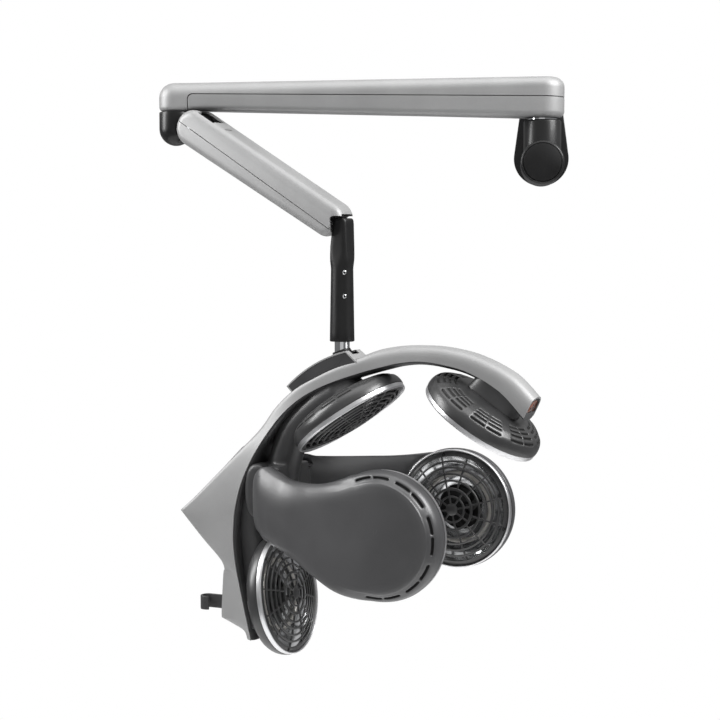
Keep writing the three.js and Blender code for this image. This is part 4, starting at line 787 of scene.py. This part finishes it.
# lamps: local z is the way a lamp faces, from the ring's front
lampPlan = planDict(
    ringRadius=102, ringBore=98.8, ringDepth=6.6, ringInner=0.6,
    ringLip=[(102, -1.4), (101.7, 0.2), (100.9, 1.3), (99.8, 1.5)],
    grilleRadius=98.4, rimWidth=8.5, rise=15, sink=2, bar=3.2, barSoft=0.5,
    rings=(81.5, 71, 60, 49), ringWide=3.4,
    fanRing=35, fanRingWide=4.2, innerRing=22, innerWide=3.2, hub=10.5, hubDeep=3.2,
    hubRise=0.4, hubRim=((1.2, 0.1), (0, -0.7)), spokeSink=0.2, spokeShort=0.4, screwLift=0.5,
    outerSpokes=12, innerSpokes=8, spokeWide=2.8, screwReach=94, screwAngles=(-18, 102, 222),
    screwHead=[(0, -0.6), (1.3, -0.6), (1.4, 0.25), (2.6, 0.25), (3.0, -0.1), (3.0, -1.4), (0, -1.4)],
    bowlRim=[(99.6, -9.5), (96.2, -9.6), (95.4, -10.2)], bowlTop=(95, -10.6), bowlWide=26, bowlDeep=11,
    bowlSteps=(0.08, 0.2, 0.34, 0.5, 0.68, 0.85, 1.0),
    bowlFloor=[(66.5, -22.4), (64, -22.6), (58, -23.9), (50, -25.8), (43, -27.6), (38.6, -29.3), (38, -31),
               (39, -31.2), (50, -27.4), (66, -24.2), (80, -20.5), (94, -12.6), (99.6, -11)],
    heaterRadius=58, heaterWire=8.4, heaterAt=-19.6,
    wellShape=[(0, -34), (38.2, -34), (38.2, -31), (37.6, -31), (37.6, -33.4), (0, -33.4)],
    domeCells=180, domeRim=[(102.5, -6.8), (102.8, -7.3), (102.9, -12.5), (102, -18), (99.8, -23.2)],
    domeCurve=[(103, -6.9), (103, -13), (101.6, -19.5), (97.5, -26.5), (92.5, -30.6), (86.9, -33.8),
               (76, -37.2), (62, -40), (46.6, -41.6), (25, -42.4), (0, -42.5)],
    domeRows=(60, 52, 44, 34, 22, 10, 0),
    motorRadius=15, motorRows=(-39.5, -39.4, -27, -39.2),
    domeInside=[(60, -36.5), (84, -31), (97, -22), (100.4, -15), (100.5, -6.8)],
    ventRows=((97.2, 95.1), (88.6, 86.5), (79.8, 77.7), (71, 68.9)), ventCells=8, ventGroups=8, ventDepth=3,
    rotorHub=[(0, -18.4), (12.5, -18.6), (13.8, -19.4), (14, -20.5), (14, -26.3), (0, -26.3)],
    rotorRadius=34, blades=7, bladeRoot=12.5, bladeAt=-22.4, bladeSweep=0.35, bladeChord=(12, 4),
    bladePitch=(34, 16), bladeLift=0.75, bladeBelly=0.8,
    bladeShape=((-0.5, 0), (-0.2, 0.5), (0.2, 0.5), (0.5, 0), (0.2, -0.5), (-0.2, -0.5)),
    sideMiddle=(143.5, -270.5), sideOut=142,
    headLamps={"rear_lamp": (19, -109, -55), "front_lamp": (244, -103.5, -124.6),
               "nape_lamp": (-99.5, -411, 9)},
)


def domeHeight(plan, r):
    for (r0, z0), (r1, z1) in zip(plan.domeCurve, plan.domeCurve[1:]):
        if r1 <= r <= r0:
            return mixed(z0, z1, (r0 - r) / (r0 - r1))
    return plan.domeCurve[0][1]


def headLampPlace(x, z, normal):
    return headPlace @ shift(x * mm, 0, z * mm) @ turned(90 - normal, "Y")


def sideLampPlace(plan, side):
    x, z = plan.sideMiddle
    return headPlace @ shift(x * mm, side * plan.sideOut * mm, z * mm) @ turned(side * 90, "X")


lamps = {name: (headLampPlace(*spot), "head") for name, spot in lampPlan.headLamps.items()}
lamps["left_lamp"] = (sideLampPlace(lampPlan, 1), "wing_left")
lamps["right_lamp"] = (sideLampPlace(lampPlan, -1), "wing_right")


def camel(name, tail):
    words = name.split("_")
    return words[0] + "".join(w.capitalize() for w in words[1:]) + tail


def buildDome(plan, name, place, body):
    cells, motor = plan.domeCells, plan.motorRadius
    rows, vents = list(plan.domeRim), []
    for edges in plan.ventRows:
        vents.append(len(rows))
        rows += [(r, domeHeight(plan, r)) for r in edges]
    rows += [(r, domeHeight(plan, r)) for r in plan.domeRows]
    inside = [*zip((0, motor, motor, motor + 1), plan.motorRows), *plan.domeInside]
    shape = lathe(rows + inside, cells, loop=True)
    groups = []
    for g in range(plan.ventGroups):
        middle = round(cells * (g + 0.5) / plan.ventGroups)
        for row in vents:
            for start in (middle - plan.ventCells, middle + 1):
                groups.append([row * cells + (start + k) % cells for k in range(plan.ventCells)])
    dome = pocketed(camel(name, "Dome"), shape, place, groups, plan.ventDepth, "domeCharcoal")
    rounded(dome)
    dress(dome, body, "domeCharcoal", name + "_dome", angle=180)


def grilleTop(plan, r):
    return plan.rise * (1 - (r / plan.grilleRadius) ** 2) - plan.sink


def grilleRing(plan, middle, wide):
    r0, r1, soft, deep = middle - wide / 2, middle + wide / 2, plan.barSoft, plan.bar
    (_, z0), a, b, (_, z1) = [(r, grilleTop(plan, r)) for r in (r0, r0 + soft, r1 - soft, r1)]
    return lathe([(r0, z0 - deep), (r1, z1 - deep), (r1, z1 - soft), b, a, (r0, z0 - soft)], 120, loop=True)


def grilleSpoke(plan, r0, r1, angle):
    half, soft, deep = plan.spokeWide / 2, plan.barSoft, plan.spokeShort - plan.bar
    section = [(-half, deep), (half, deep), (half, -soft), (half - soft, 0), (soft - half, 0),
               (-half, -soft)]
    loops = []
    for r in (mixed(r0, r1, k / 8) for k in range(9)):
        top = grilleTop(plan, r) - plan.spokeSink
        loops.append([(r, y, top + z) for y, z in section])
    return moved(loft(loops), Matrix.Rotation(angle, 4, "Z"))


def grilleShape(plan):
    rim, hub, top = plan.grilleRadius - plan.rimWidth, plan.hub, grilleTop(plan, 0)
    bands = [(rim + plan.rimWidth / 2, plan.rimWidth), *((r, plan.ringWide) for r in plan.rings),
             (plan.fanRing, plan.fanRingWide), (plan.innerRing, plan.innerWide)]
    shapes = [grilleRing(plan, *band) for band in bands]
    edge = [(hub - a, z) for a, z in plan.hubRim]
    curve = [(0, plan.hubRise), *edge, (hub, -plan.hubDeep), (0, -plan.hubDeep)]
    shapes.append(lathe([(r, top + z) for r, z in curve], 72))
    for count, start, r0, r1 in ((plan.outerSpokes, 0.5, plan.fanRing, rim + 2),
                                 (plan.innerSpokes, 0.25, hub - 1, plan.fanRing)):
        shapes += [grilleSpoke(plan, r0, r1, 2 * pi * (k + start) / count) for k in range(count)]
    return merge(*shapes)


def buildLampFace(plan, name, place, body):
    bore, radius, deep = plan.ringBore, plan.ringRadius, plan.ringDepth
    ring = lathe([(bore, -deep), (radius, -deep), *plan.ringLip, (bore, plan.ringInner)], 144, loop=True)
    piece(camel(name, "Ring"), ring, place, body, "satinChrome", name + "_ring", angle=50)
    piece(camel(name, "Grille"), grilleShape(plan), place, body, "domeCharcoal", name + "_grille", angle=40)
    screw, reach = lathe(plan.screwHead, 32), plan.screwReach
    out = shift(reach, 0, grilleTop(plan, reach) + plan.screwLift)
    spots = [turned(a, "Z") @ out for a in plan.screwAngles]
    screws = merge(*[moved(screw, spot) for spot in spots])
    piece(camel(name, "RimScrews"), screws, place, body, "paintedShadeAndBlack")
    r, z = plan.bowlTop
    curve = [(r - plan.bowlWide * f, z - plan.bowlDeep * sin(pi / 2 * f)) for f in plan.bowlSteps]
    bowl = lathe(plan.bowlRim + curve + plan.bowlFloor, 120, loop=True)
    piece(camel(name, "Reflector"), bowl, place, body, "reflector", name + "_reflector")
    coil = lathe(arc(plan.heaterRadius, plan.heaterAt, plan.heaterWire / 2, 0, 340, 17), 120, loop=True)
    piece(camel(name, "Heater"), coil, place, body, "quartz", name + "_heater")
    # the fan well is a near-black disc, painted shade behind the fan
    piece(camel(name, "FanWell"), lathe(plan.wellShape, 72), place, body, "paintedShadeAndBlack")


def buildFan(plan, name, place):
    loops = []
    for f in (i / 6 for i in range(7)):
        r = mixed(plan.bladeRoot, plan.rotorRadius, f)
        sweep = plan.bladeSweep * f * f
        chord = plan.bladeChord[0] + plan.bladeChord[1] * sin(pi * f * plan.bladeBelly)
        pitch = rad(plan.bladePitch[0] - plan.bladePitch[1] * f)
        loop = []
        for u, w in plan.bladeShape:
            y = chord * u * cos(pitch) - w * sin(pitch)
            z = chord * u * sin(pitch) * plan.bladeLift + w * cos(pitch) + plan.bladeAt
            loop.append((r * cos(sweep) - y * sin(sweep), r * sin(sweep) + y * cos(sweep), z))
        loops.append(loop)
    turns = [Matrix.Rotation(2 * pi * k / plan.blades, 4, "Z") for k in range(plan.blades)]
    fan = merge(lathe(plan.rotorHub, 48), *[moved(loft(loops), turn) for turn in turns])
    piece(camel(name, "Fan"), fan, place, name.split("_")[0] + "_fan", "blackPlastic", name + "_fan")


for lampName, (lampPlace, lampBody) in lamps.items():
    if lampBody == "head":
        buildDome(lampPlan, lampName, lampPlace, lampBody)
    buildLampFace(lampPlan, lampName, lampPlace, lampBody)
    buildFan(lampPlan, lampName, lampPlace)
print("lamps done")


# wings: rings of points drawn round the lamp's middle and stretched out to the wing's outline
wingPlan = planDict(
    middle=lampPlan.sideMiddle, disc=103.2, rimFace=151.3, joinTop=116, joinBottom=-106, step=2.4,
    rows=[  # x, outer face, top, bottom, thickness, crown
        (-131, 66, -193, -288, 4, 12), (-129, 75, -190, -290, 4, 15), (-123, 86, -185, -295, 4.5, 18),
        (-108, 98, -181, -305, 5, 22), (-84, 109, -189, -316, 8, 24), (-46, 122, -201, -328, 12, 20),
        (4, 144, -201, -346, 12, 13), (59, 166, -194, -365, 12, 8), (109, 182, -186, -372, 12, 5),
        (154, 190, -180, -373, 12, 4), (200, 192, -178, -373, 12, 4), (250, 192.4, -178, -373, 12, 4)],
    crownReach=(14, 1.9),
    face=[
        (0, 192.4), (0.16, 192.4), (0.3, 192.4), (0.42, 192.2), (0.55, 192), (0.63, 191.6), (0.7, 191.2),
        (0.75, 190.6), (0.79, 190), (0.825, 189), (0.842, 188.2), (0.847, 186.6), (0.862, 185.2),
        (0.904, 180.8), (0.926, 178.2), (0.955, 174.6), (0.978, 170), (0.99, 163.5), (0.997, 157.5),
        (1, 151.3)],
    farTop=-185, rootStart={-1: -94, 1: -112}, rootEnd=-131, tipPower=0.8,
    runSteps=36, blendSteps=14, shareSteps=(14, 10), rolledFrom=0.5,
    ventFrom=0.904, ventCells=7, fineTo=0.8,
    back=(0.985, 0.95, 0.85, 0.7, 0.5, 0.3, 0.12, 0), bowlWall=2.2, bowlMiddle=181.5,
    bowl=((100.5, 151.3), (99.8, 157), (97, 162), (80, 170), (50, 178), (20, 181)),
    ventAt=(-85, -40, 5, 50, 95), ventDepth=4.5,
    hinge=(-108, 74), hingeTop=-204, hingeBottom=-270, barrel=9,
    lug=6, lugReach=21, lugEdge=2.5, lugGap=0.6,
)


def wingRow(plan, x):
    rows = plan.rows
    for k in range(len(rows) - 1):
        if x <= rows[k + 1][0] or k == len(rows) - 2:
            f = (x - rows[k][0]) / (rows[k + 1][0] - rows[k][0])
            return along(rows, k + min(max(f, 0), 1))
    return rows[-1]


def wingTop(plan, x, side):
    top = wingRow(plan, x)[2]
    return top if side < 0 else max(top, plan.farTop)


def wingOutline(plan, side):
    cx, cz = plan.middle
    count = int((plan.joinTop - plan.joinBottom) / plan.step)
    outline = arc(cx, cz, plan.disc, plan.joinBottom, plan.joinTop, count)
    outline = [(x, min(z, wingRow(plan, x)[3]) if x < cx and z < cz else z) for x, z in outline]
    root, end, n, fade = plan.rootStart[side], plan.rootEnd, plan.runSteps, plan.blendSteps

    def runFrom(x):
        return [x + (root - x) * k / n for k in range(1, n + 1)]

    top = [(x, wingTop(plan, x, side)) for x in runFrom(outline[-1][0])]
    tipTop, tipLow = top[-1][1], wingRow(plan, root)[3]
    middle, half = (tipTop + tipLow) / 2, (tipTop - tipLow) / 2
    tip = []
    for a in range(6, 180, 6):
        c, s, power = cos(rad(a)), sin(rad(a)), plan.tipPower
        tip.append((mixed(root, end, s ** power), middle + half * math.copysign(abs(c) ** power, c)))
    bottom = [(x, wingRow(plan, x)[3]) for x in runFrom(outline[0][0])[::-1]]
    blendTop, blendLow = outline[-1][1] - top[0][1], outline[0][1] - bottom[-1][1]
    top = [(x, z + blendTop * max(0, 1 - k / fade) ** 2) for k, (x, z) in enumerate(top)]
    bottom = [(x, z + blendLow * max(0, 1 - (n - 1 - k) / fade) ** 2) for k, (x, z) in enumerate(bottom)]
    return outline + top + tip + bottom, count


def buildWing(plan, side):
    cx, cz = plan.middle
    outline, discEnd = wingOutline(plan, side)
    blade = outline[discEnd + 1:]

    def toEdge(x, z):
        return min(hypot(x - a, z - b) for a, b in blade)

    def crown(x, z):  # how far the skin has rolled inward towards its long edges
        row = wingRow(plan, x)
        reach = plan.crownReach[0] + plan.crownReach[1] * row[5]
        d = min(max(min(wingTop(plan, x, side) - z, z - row[3]) / reach, 0), 1)
        return row[5] * (1 - sqrt(1 - (1 - d) ** 2))

    def discShare(k):  # 1 on the lamp's free side, 0 along the blade
        out, on = plan.shareSteps
        if k <= discEnd:
            t = (out + min(k, discEnd - k, on)) / (out + on)
        else:
            t = max(out - min(k - discEnd, len(outline) - k), 0) / (out + on)
        return t * t * (3 - 2 * t)

    reaches = [hypot(x - cx, z - cz) for x, z in outline]
    flat = plan.face[0][1]
    steps = []
    for (s0, y0), (s1, y1) in zip(plan.face, plan.face[1:]):
        steps += [(s0, y0), ((s0 + s1) / 2, (y0 + y1) / 2)] if s1 < plan.fineTo else [(s0, y0)]
    steps.append(plan.face[-1])
    ventRow = [s for s, _ in steps].index(plan.ventFrom)

    def drawnIn(parts):  # the outline drawn in towards the lamp's middle
        return [(cx + (x - cx) * f, cz + (z - cz) * f) for (x, z), f in zip(outline, parts)]

    def bladeSkin(x, z, rolled, under):
        _, face, _, _, thick, _ = wingRow(plan, x)
        half = thick / 2
        d = min(toEdge(x, z), half) if rolled else half
        roll = half * (1 - sqrt(max(0, 1 - (1 - d / half) ** 2)))
        return face - crown(x, z) - (thick - roll if under else roll)

    def blended(k, x, z, discY, bladeY):
        share = discShare(k)
        return x, side * (share * discY + (1 - share) * bladeY), z

    loops = []
    for s, faceY in steps:
        loop = []
        for k, (x, z) in enumerate(drawnIn([s] * len(outline))):
            top = wingRow(plan, x)[1]
            discY = top - (top - plan.rimFace) * (flat - faceY) / (flat - plan.rimFace)
            loop.append(blended(k, x, z, discY, bladeSkin(x, z, s > plan.rolledFrom, False)))
        loops.append(loop)
    loops[0] = loops[0][:1]
    for q in plan.back:
        run = drawnIn([(plan.disc + (reach - plan.disc) * q) / reach for reach in reaches])
        loop = []
        for k, (x, z) in enumerate(run):
            bladeY = bladeSkin(x, z, q > plan.rolledFrom, True) if q else plan.rimFace
            loop.append(blended(k, x, z, plan.rimFace, bladeY))
        loops.append(loop)
    for r, y in plan.bowl:
        loops.append([(x, side * min(y, wingRow(plan, x)[1] - plan.bowlWall), z)
                      for x, z in drawnIn([r / reach for reach in reaches])])
    loops.append([(cx, side * plan.bowlMiddle, cz)])
    points, rings = [], []
    for loop in loops:
        rings.append(list(range(len(points), len(points) + len(loop))))
        points += loop
    faces, starts = [], []
    for a, b in zip(rings, rings[1:]):
        starts.append(len(faces))
        faces += bridge(a, b)
    groups = []
    for angle in plan.ventAt:
        middle = round(discEnd * (angle - plan.joinBottom) / (plan.joinTop - plan.joinBottom))
        for start in (middle - plan.ventCells, middle + 1):
            groups.append([starts[ventRow] + start + k for k in range(plan.ventCells)])
    name, body = ("wingLeft", "wing_left") if side > 0 else ("wingRight", "wing_right")
    shell = pocketed(name + "Shell", (points, faces), headPlace, groups, plan.ventDepth, "wingGrey")
    rounded(shell)
    dress(shell, body, "wingGrey", body + "_shell", angle=180)
    hx, hy = plan.hinge
    lugs = []
    b, far = plan.barrel, plan.lugReach
    disc = arc(0, 0, b, 180, 360, 32) + [(b, far), (0, far - 2), (-b, b)]
    disc = [(hx + u, side * (hy + v)) for u, v in disc]
    for z0, z1 in ((plan.hingeTop + plan.lugGap, plan.hingeTop + plan.lug),
                   (plan.hingeBottom - plan.lug, plan.hingeBottom - plan.lugGap)):
        lugs.append(plate(disc, z0, z1))
    piece(name + "Lugs", merge(*lugs), headPlace, body, "wingGrey", edge=plan.lugEdge)


for wingSide in (1, -1):
    buildWing(wingPlan, wingSide)
print("wings done")


# liner under the shell, with its column, lamp pedestals and wing barrels, grown into one skin
linerPlan = planDict(
    lip=7, lipDraft=0.4, bulge=6, slope=14, gap=0.6, spare=0.4, columnRadius=28,
    column=[(-124, -294), (-115, -242), (-106, -182), (-84, -130), (-46, -92), (-4, -64)],
    ridgeRadius=30,
    ridge=[(-158, -236), (-168, -270), (-170, -306), (-162, -342), (-154, -402), (-146, -472)],
    pedestals=(("rear_lamp", 50), ("front_lamp", 48), ("nape_lamp", 48)), pedestalHalf=28,
    pedestalRun=((-36, 0), (-44, 0), (-48, 1.5), (-60, 3), (-76.5, 3)), pedestalPower=3.4,
    hinge=wingPlan.hinge, hingeTop=-205, hingeBottom=-269, barrel=11, skin=2.4,
    socket=(-139, -233), socketHalf=(22, 46), socketPower=2.5,
    socketRun=((8, 0), (30, 0), (41, 0), (45, 1.5), (47, 4), (48, 8)), ease=(0.5, 8),
    neckHalf=9, neckInset=5, shield=(-115, -90, 56, -276, -190),
)


def linerPlate(plan):
    loops = []
    for ex, ez, cx, cz, edgeHalf, crownHalf, rounding in spineRun:
        depth = hypot(cx - ex, cz - ez)
        dx, dz = (cx - ex) / depth, (cz - ez) / depth
        lip = max(min(plan.lip, depth - max(rounding, spinePlan.wall) - 1), 1)
        wall = spinePlan.wall + plan.gap
        inner = edgeHalf - wall
        lipHalf = min(inner, inner + (crownHalf - wall - inner) * lip / depth)
        side = [(lip, lipHalf - plan.lipDraft), (0, inner)]
        side += [(-plan.bulge * sin(rad(a)), inner - plan.slope * (1 - cos(rad(a))))
                 for a in range(15, 91, 15)]
        whole = side + [(t, -y) for t, y in side[::-1]]
        loops.append([(ex + dx * t, y, ez + dz * t) for t, y in whole])
    return loft(loops)


def buildLiner(plan):
    piece("linerPlate", linerPlate(plan), headPlace, "head", "charcoal", angle=50)
    shapes = []
    for path, radius in ((plan.column, plan.columnRadius), (plan.ridge, plan.ridgeRadius)):
        run = [(x, 0, z) for x, z in smoothRun(path, 6)]
        shapes.append(tube(run, radius, 32))
    toHead = headPlace.inverted()
    for lamp, length in plan.pedestals:
        place = toHead @ lamps[lamp][0]
        loops = []
        for z, pull in plan.pedestalRun:
            loops.append(superLoop(0, length - pull, plan.pedestalHalf - pull, plan.pedestalPower, z))
        points, faces = loft(loops)
        shapes.append(([tuple(v / mm for v in place @ (Vector(p) * mm)) for p in points], faces))
    hx, hy = plan.hinge
    z0, z1 = plan.hingeBottom, plan.hingeTop
    for side in (1, -1):
        shapes.append(moved(rod(plan.barrel, z0, z1), shift(hx, side * hy, 0)))
        y0, y1 = sorted((0, side * hy))
        neck, inset = plan.neckHalf, plan.neckInset
        shapes.append(block(hx - neck, hx + neck, y0, y1, z0 + inset, z1 - inset))
        x0, x1, reach, low, top = plan.shield
        y0, y1 = sorted((0, side * reach))
        shapes.append(block(x0, x1, y0, y1, low, top))
        (sx, sz), (wide, high) = plan.socket, plan.socketHalf
        loops = [superLoop(sx, wide - pull, high - pull, plan.socketPower, side * y)
                 for y, pull in plan.socketRun]
        shapes.append(loft([[(x, y, sz + w) for x, w, y in loop] for loop in loops]))
    grown = rawObject("linerBody", merge(*shapes), headPlace)
    skin = grown.modifiers.new("skin", "REMESH")
    skin.mode = "VOXEL"
    skin.voxel_size = plan.skin * mm
    ease = grown.modifiers.new("ease", "SMOOTH")
    ease.factor, ease.iterations = plan.ease
    applied(grown)
    envelope = [spineSection(row, -plan.spare, -plan.spare) for row in spineRun]
    carve(grown, loft(envelope), headPlace)
    dress(grown, "head", "charcoal", "spine_liner", angle=45)


buildLiner(linerPlan)
print("liner done")


# controls and cord hook
controlPlan = planDict(
    fascia=spinePlan.fascia, thick=3, proud=0.2, corner=6, edge=0.6,
    button=9, buttonGap=0.6, buttonProud=2.5, buttonDeep=-9.5,
    buttonDish=((0, 0.7), (5, 0.5)), buttonRim=((1.2, 0), (0.3, 0.3), (0, 1)),
    buttonRing=((0.7, 0.1), (3.4, 0.1), (3.4, 0.5), (2.6, 1.1), (1.4, 1.1), (0.7, 0.6)),
    display=(34, 40, 4), displayAt=36, displayRun=(0.1, 0.7), displayEdge=0.25,
    keyRadius=5, keyRim=((1.2, 1.0), (0.3, 0.7), (0, 0.15)), keyStart=(-26, -16), keyStep=(-17, 16),
    keyRows=3, keyCols=2,
    hookZ=-437, hookHigh=24, hookRear=-222.3, hookReach=30, hookCurl=13, hookBand=4,
    hookTurn=298, hookTip=0.2, hookEdge=1.2)


def roundedBox(length, wide, corner, steps=8):
    x, y = length / 2 - corner, wide / 2 - corner
    spots = ((x, y, 0), (-x, y, 90), (-x, -y, 180), (x, -y, 270))
    return [p for cx, cy, a in spots for p in arc(cx, cy, corner, a, a + 90, steps)]


def buildControls(plan):
    place = headPlace @ Matrix.Translation(fasciaPlace.translation * mm) @ fasciaPlace.to_3x3().to_4x4()
    length, wide = plan.fascia
    panel = plate(roundedBox(length, wide, plan.corner), -plan.thick, plan.proud)
    face = rawObject("controlFascia", panel, place)
    b = plan.button
    carve(face, rod(b + plan.buttonGap, -9, 9, 64), place)
    softened(face, plan.edge)
    dress(face, "head", "blackPlastic", "control_fascia")
    ring = [(b + out, z) for out, z in plan.buttonRing]
    piece("buttonRing", lathe(ring, 72, loop=True), place, "head", "satinChrome")
    top, deep = plan.buttonProud, plan.buttonDeep
    curve = [*plan.buttonDish, *((b - a, down) for a, down in plan.buttonRim)]
    knob = lathe([*((x, top - down) for x, down in curve), (b, deep), (0, deep)], 72)
    piece("startButton", knob, place, "start_button", "steel", "start_button")
    pane = [(x + plan.displayAt, y) for x, y in roundedBox(*plan.display)]
    screen = plate(pane, *plan.displayRun)
    piece("displayPane", screen, place, "head", "displayGlass", edge=plan.displayEdge)
    r, (x, y), (across, up) = plan.keyRadius, plan.keyStart, plan.keyStep
    rim = [(r - a, z) for a, z in plan.keyRim]
    key = lathe([(0, rim[0][1]), *rim, (0, rim[-1][1])], 40)
    spots = [shift(x + across * col, y + up * row, 0)
             for row in range(plan.keyRows) for col in range(plan.keyCols)]
    piece("keyPads", merge(*[moved(key, spot) for spot in spots]), place, "head", "keyPad")
    keepNode("mains_switch", 0.7)
    rear, band, curl = plan.hookRear, plan.hookBand, plan.hookCurl
    turn, middle, reach = rear - plan.hookReach, band / 2 - curl, curl - band / 2
    end = plan.hookTurn
    tip = (turn + plan.hookTip + reach * cos(rad(end)), middle + reach * sin(rad(end)))
    outline = [(rear, band / 2), *arc(turn, middle, curl, 90, end - 2, 30),
               *arc(*tip, band / 2, end - 360, 90, 6)[1:-1],
               *arc(turn, middle, curl - band, end + 2, 90, 30), (rear, -band / 2)]
    half = plan.hookHigh / 2
    hook = rawObject("cordHook", plate(outline, plan.hookZ - half, plan.hookZ + half), headPlace)
    softened(hook, plan.hookEdge, angle=60)
    dress(hook, "head", "charcoal", "cord_hook")


# sensor window in the boom's end
sensorPlan = planDict(
    frame=3.4, frameWide=3.2, frameSink=0.8, pane=6.8, paneEdge=1.4, sink=1.2, deep=7,
    dots=((9, 0), (15, 7), (15, -7), (21, 0)), dotSink=0.3,
    dotShape=[(0, 1), (1.3, 0.8), (2.0, 0), (2.0, -1), (0, -1)])


def buildSensor(plan):
    row = spineRun[0]
    a, b = (Vector((r[0] + r[2], 0, r[1] + r[3])) for r in (spineRun[0], spineRun[2]))
    out = (a - b).normalized()

    def sections(inset, offsets):
        return [[tuple(Vector(p) + out * o) for p in spineSection(row, inset, inset)] for o in offsets]

    rim = sections(plan.frame, (-plan.deep, -plan.frameSink))
    well = sections(plan.frame + plan.frameWide, (-plan.frameSink, -plan.deep))
    bezel = loft(rim + well + rim[:1], ends=False)
    piece("sensorFrame", bezel, headPlace, "head", "blackPlastic")
    edge = plan.paneEdge
    pane = sections(plan.pane, (-plan.deep, -plan.sink - edge)) + sections(plan.pane + edge, (-plan.sink,))
    piece("sensorPane", loft(pane), headPlace, "head", "lens", "sensor_lens", angle=60)
    ex, ez, cx, cz = row[:4]
    up = Vector((cx - ex, 0, cz - ez)).normalized()
    turn = Matrix((up, Vector((0, 1, 0)), up.cross(Vector((0, 1, 0))))).transposed().to_4x4()
    dots = []
    for t, y in plan.dots:
        spot = Vector((ex, y, ez)) + up * t + out * (-plan.sink - plan.dotSink)
        dots.append(moved(lathe(plan.dotShape, 24), Matrix.Translation(spot) @ turn))
    piece("sensorDots", merge(*dots), headPlace, "head", "displayGlass")


buildControls(controlPlan)
buildSensor(sensorPlan)
print("controls and sensor done")


# studio
studioPlan = planDict(
    floor=-1.9, floorRadius=2.0, floorMiddle=(-0.3, -0.2),
    paint=dict(color=(0.93, 0.93, 0.93), rough=0.7, mottle=0.6, spread=0.01, grain=40, bump=0.02),
    camera=(-0.05542, -3.03059, -0.14463), azimuth=5.0, down=4.0, lens=85.0, sensor=36,
    skyStrength=0.5, skyEnds=((0.32, (0.55, 0.55, 0.56, 1)), (0.75, (1, 1, 1, 1))),
    skyBand=(0.5, (0.26, 0.26, 0.265, 1)),
    lights=(  # name, spot, aim, size, power
        ("keyLight", (2.0, -0.9, 1.5), (-0.2, -0.2, -0.4), (1.6, 1.6), 105),
        ("leftLight", (-2.6, -0.5, 0.7), (-0.3, -0.3, -0.45), (0.9, 1.8), 56),
        ("topLight", (-0.3, -0.5, 2.6), (-0.3, -0.3, -0.3), (3.0, 2.6), 50),
        ("frontLight", (-0.4, -3.4, -0.6), (-0.3, -0.2, -0.3), (3.0, 2.0), 7)),
)


def areaLight(name, spot, aim, size, power):
    light = bpy.data.lights.new(name, "AREA")
    light.energy = power
    light.shape = "RECTANGLE"
    light.size, light.size_y = size
    obj = addObject(name, light)
    obj.location = spot
    obj.rotation_euler = (Vector(aim) - Vector(spot)).to_track_quat("-Z", "Y").to_euler()


def buildStudio(plan):
    world = bpy.context.scene.world or bpy.data.worlds.new("studioWorld")
    bpy.context.scene.world = world
    world.use_nodes = True
    tree = world.node_tree
    tree.nodes.clear()
    coords = addNode(tree, "TexCoord")
    split = addNode(tree, "SeparateXYZ", {"Vector": coords.outputs["Generated"]})
    half = addNode(tree, "MapRange", {"From Min": -1, "Value": split.outputs["Z"]})
    ramp = addNode(tree, "ValToRGB", {"Fac": half.outputs["Result"]})
    stops = ramp.color_ramp.elements
    for stop, end in zip(stops, plan.skyEnds):
        stop.position, stop.color = end
    stops.new(plan.skyBand[0]).color = plan.skyBand[1]
    lit = addNode(tree, "Background", {"Color": ramp.outputs["Color"], "Strength": plan.skyStrength})
    seen = addNode(tree, "Background", {"Color": (1, 1, 1, 1), "Strength": 1})
    path = addNode(tree, "LightPath")
    mix = addNode(tree, "MixShader", {"Fac": path.outputs["Is Camera Ray"], 1: lit.outputs["Background"],
                                      2: seen.outputs["Background"]})
    addNode(tree, "OutputWorld", {"Surface": mix.outputs["Shader"]})

    floor = bpy.data.meshes.new("studioFloor")
    dx, dy = plan.floorMiddle
    rim = [(x + dx, y + dy, plan.floor) for x, y in arc(0, 0, plan.floorRadius, 0, 355, 71)]
    floor.from_pydata(rim, [], [list(range(len(rim)))])
    floor.materials.append(makeFinish("paleFloor", plan.paint))
    ground = addObject("studioFloor", floor)

    for light in plan.lights:
        areaLight(*light)

    camera = bpy.data.cameras.new("camera")
    camera.lens = plan.lens
    camera.sensor_width = plan.sensor
    eye = addObject("camera", camera)
    eye.location = plan.camera
    a, d = rad(plan.azimuth), rad(plan.down)
    look = Vector((-sin(a) * cos(d), cos(a) * cos(d), -sin(d)))
    eye.rotation_euler = look.to_track_quat("-Z", "Y").to_euler()
    bpy.context.scene.camera = eye
    bpy.context.scene.view_settings.view_transform = "Standard"


buildStudio(studioPlan)
print("studio done")
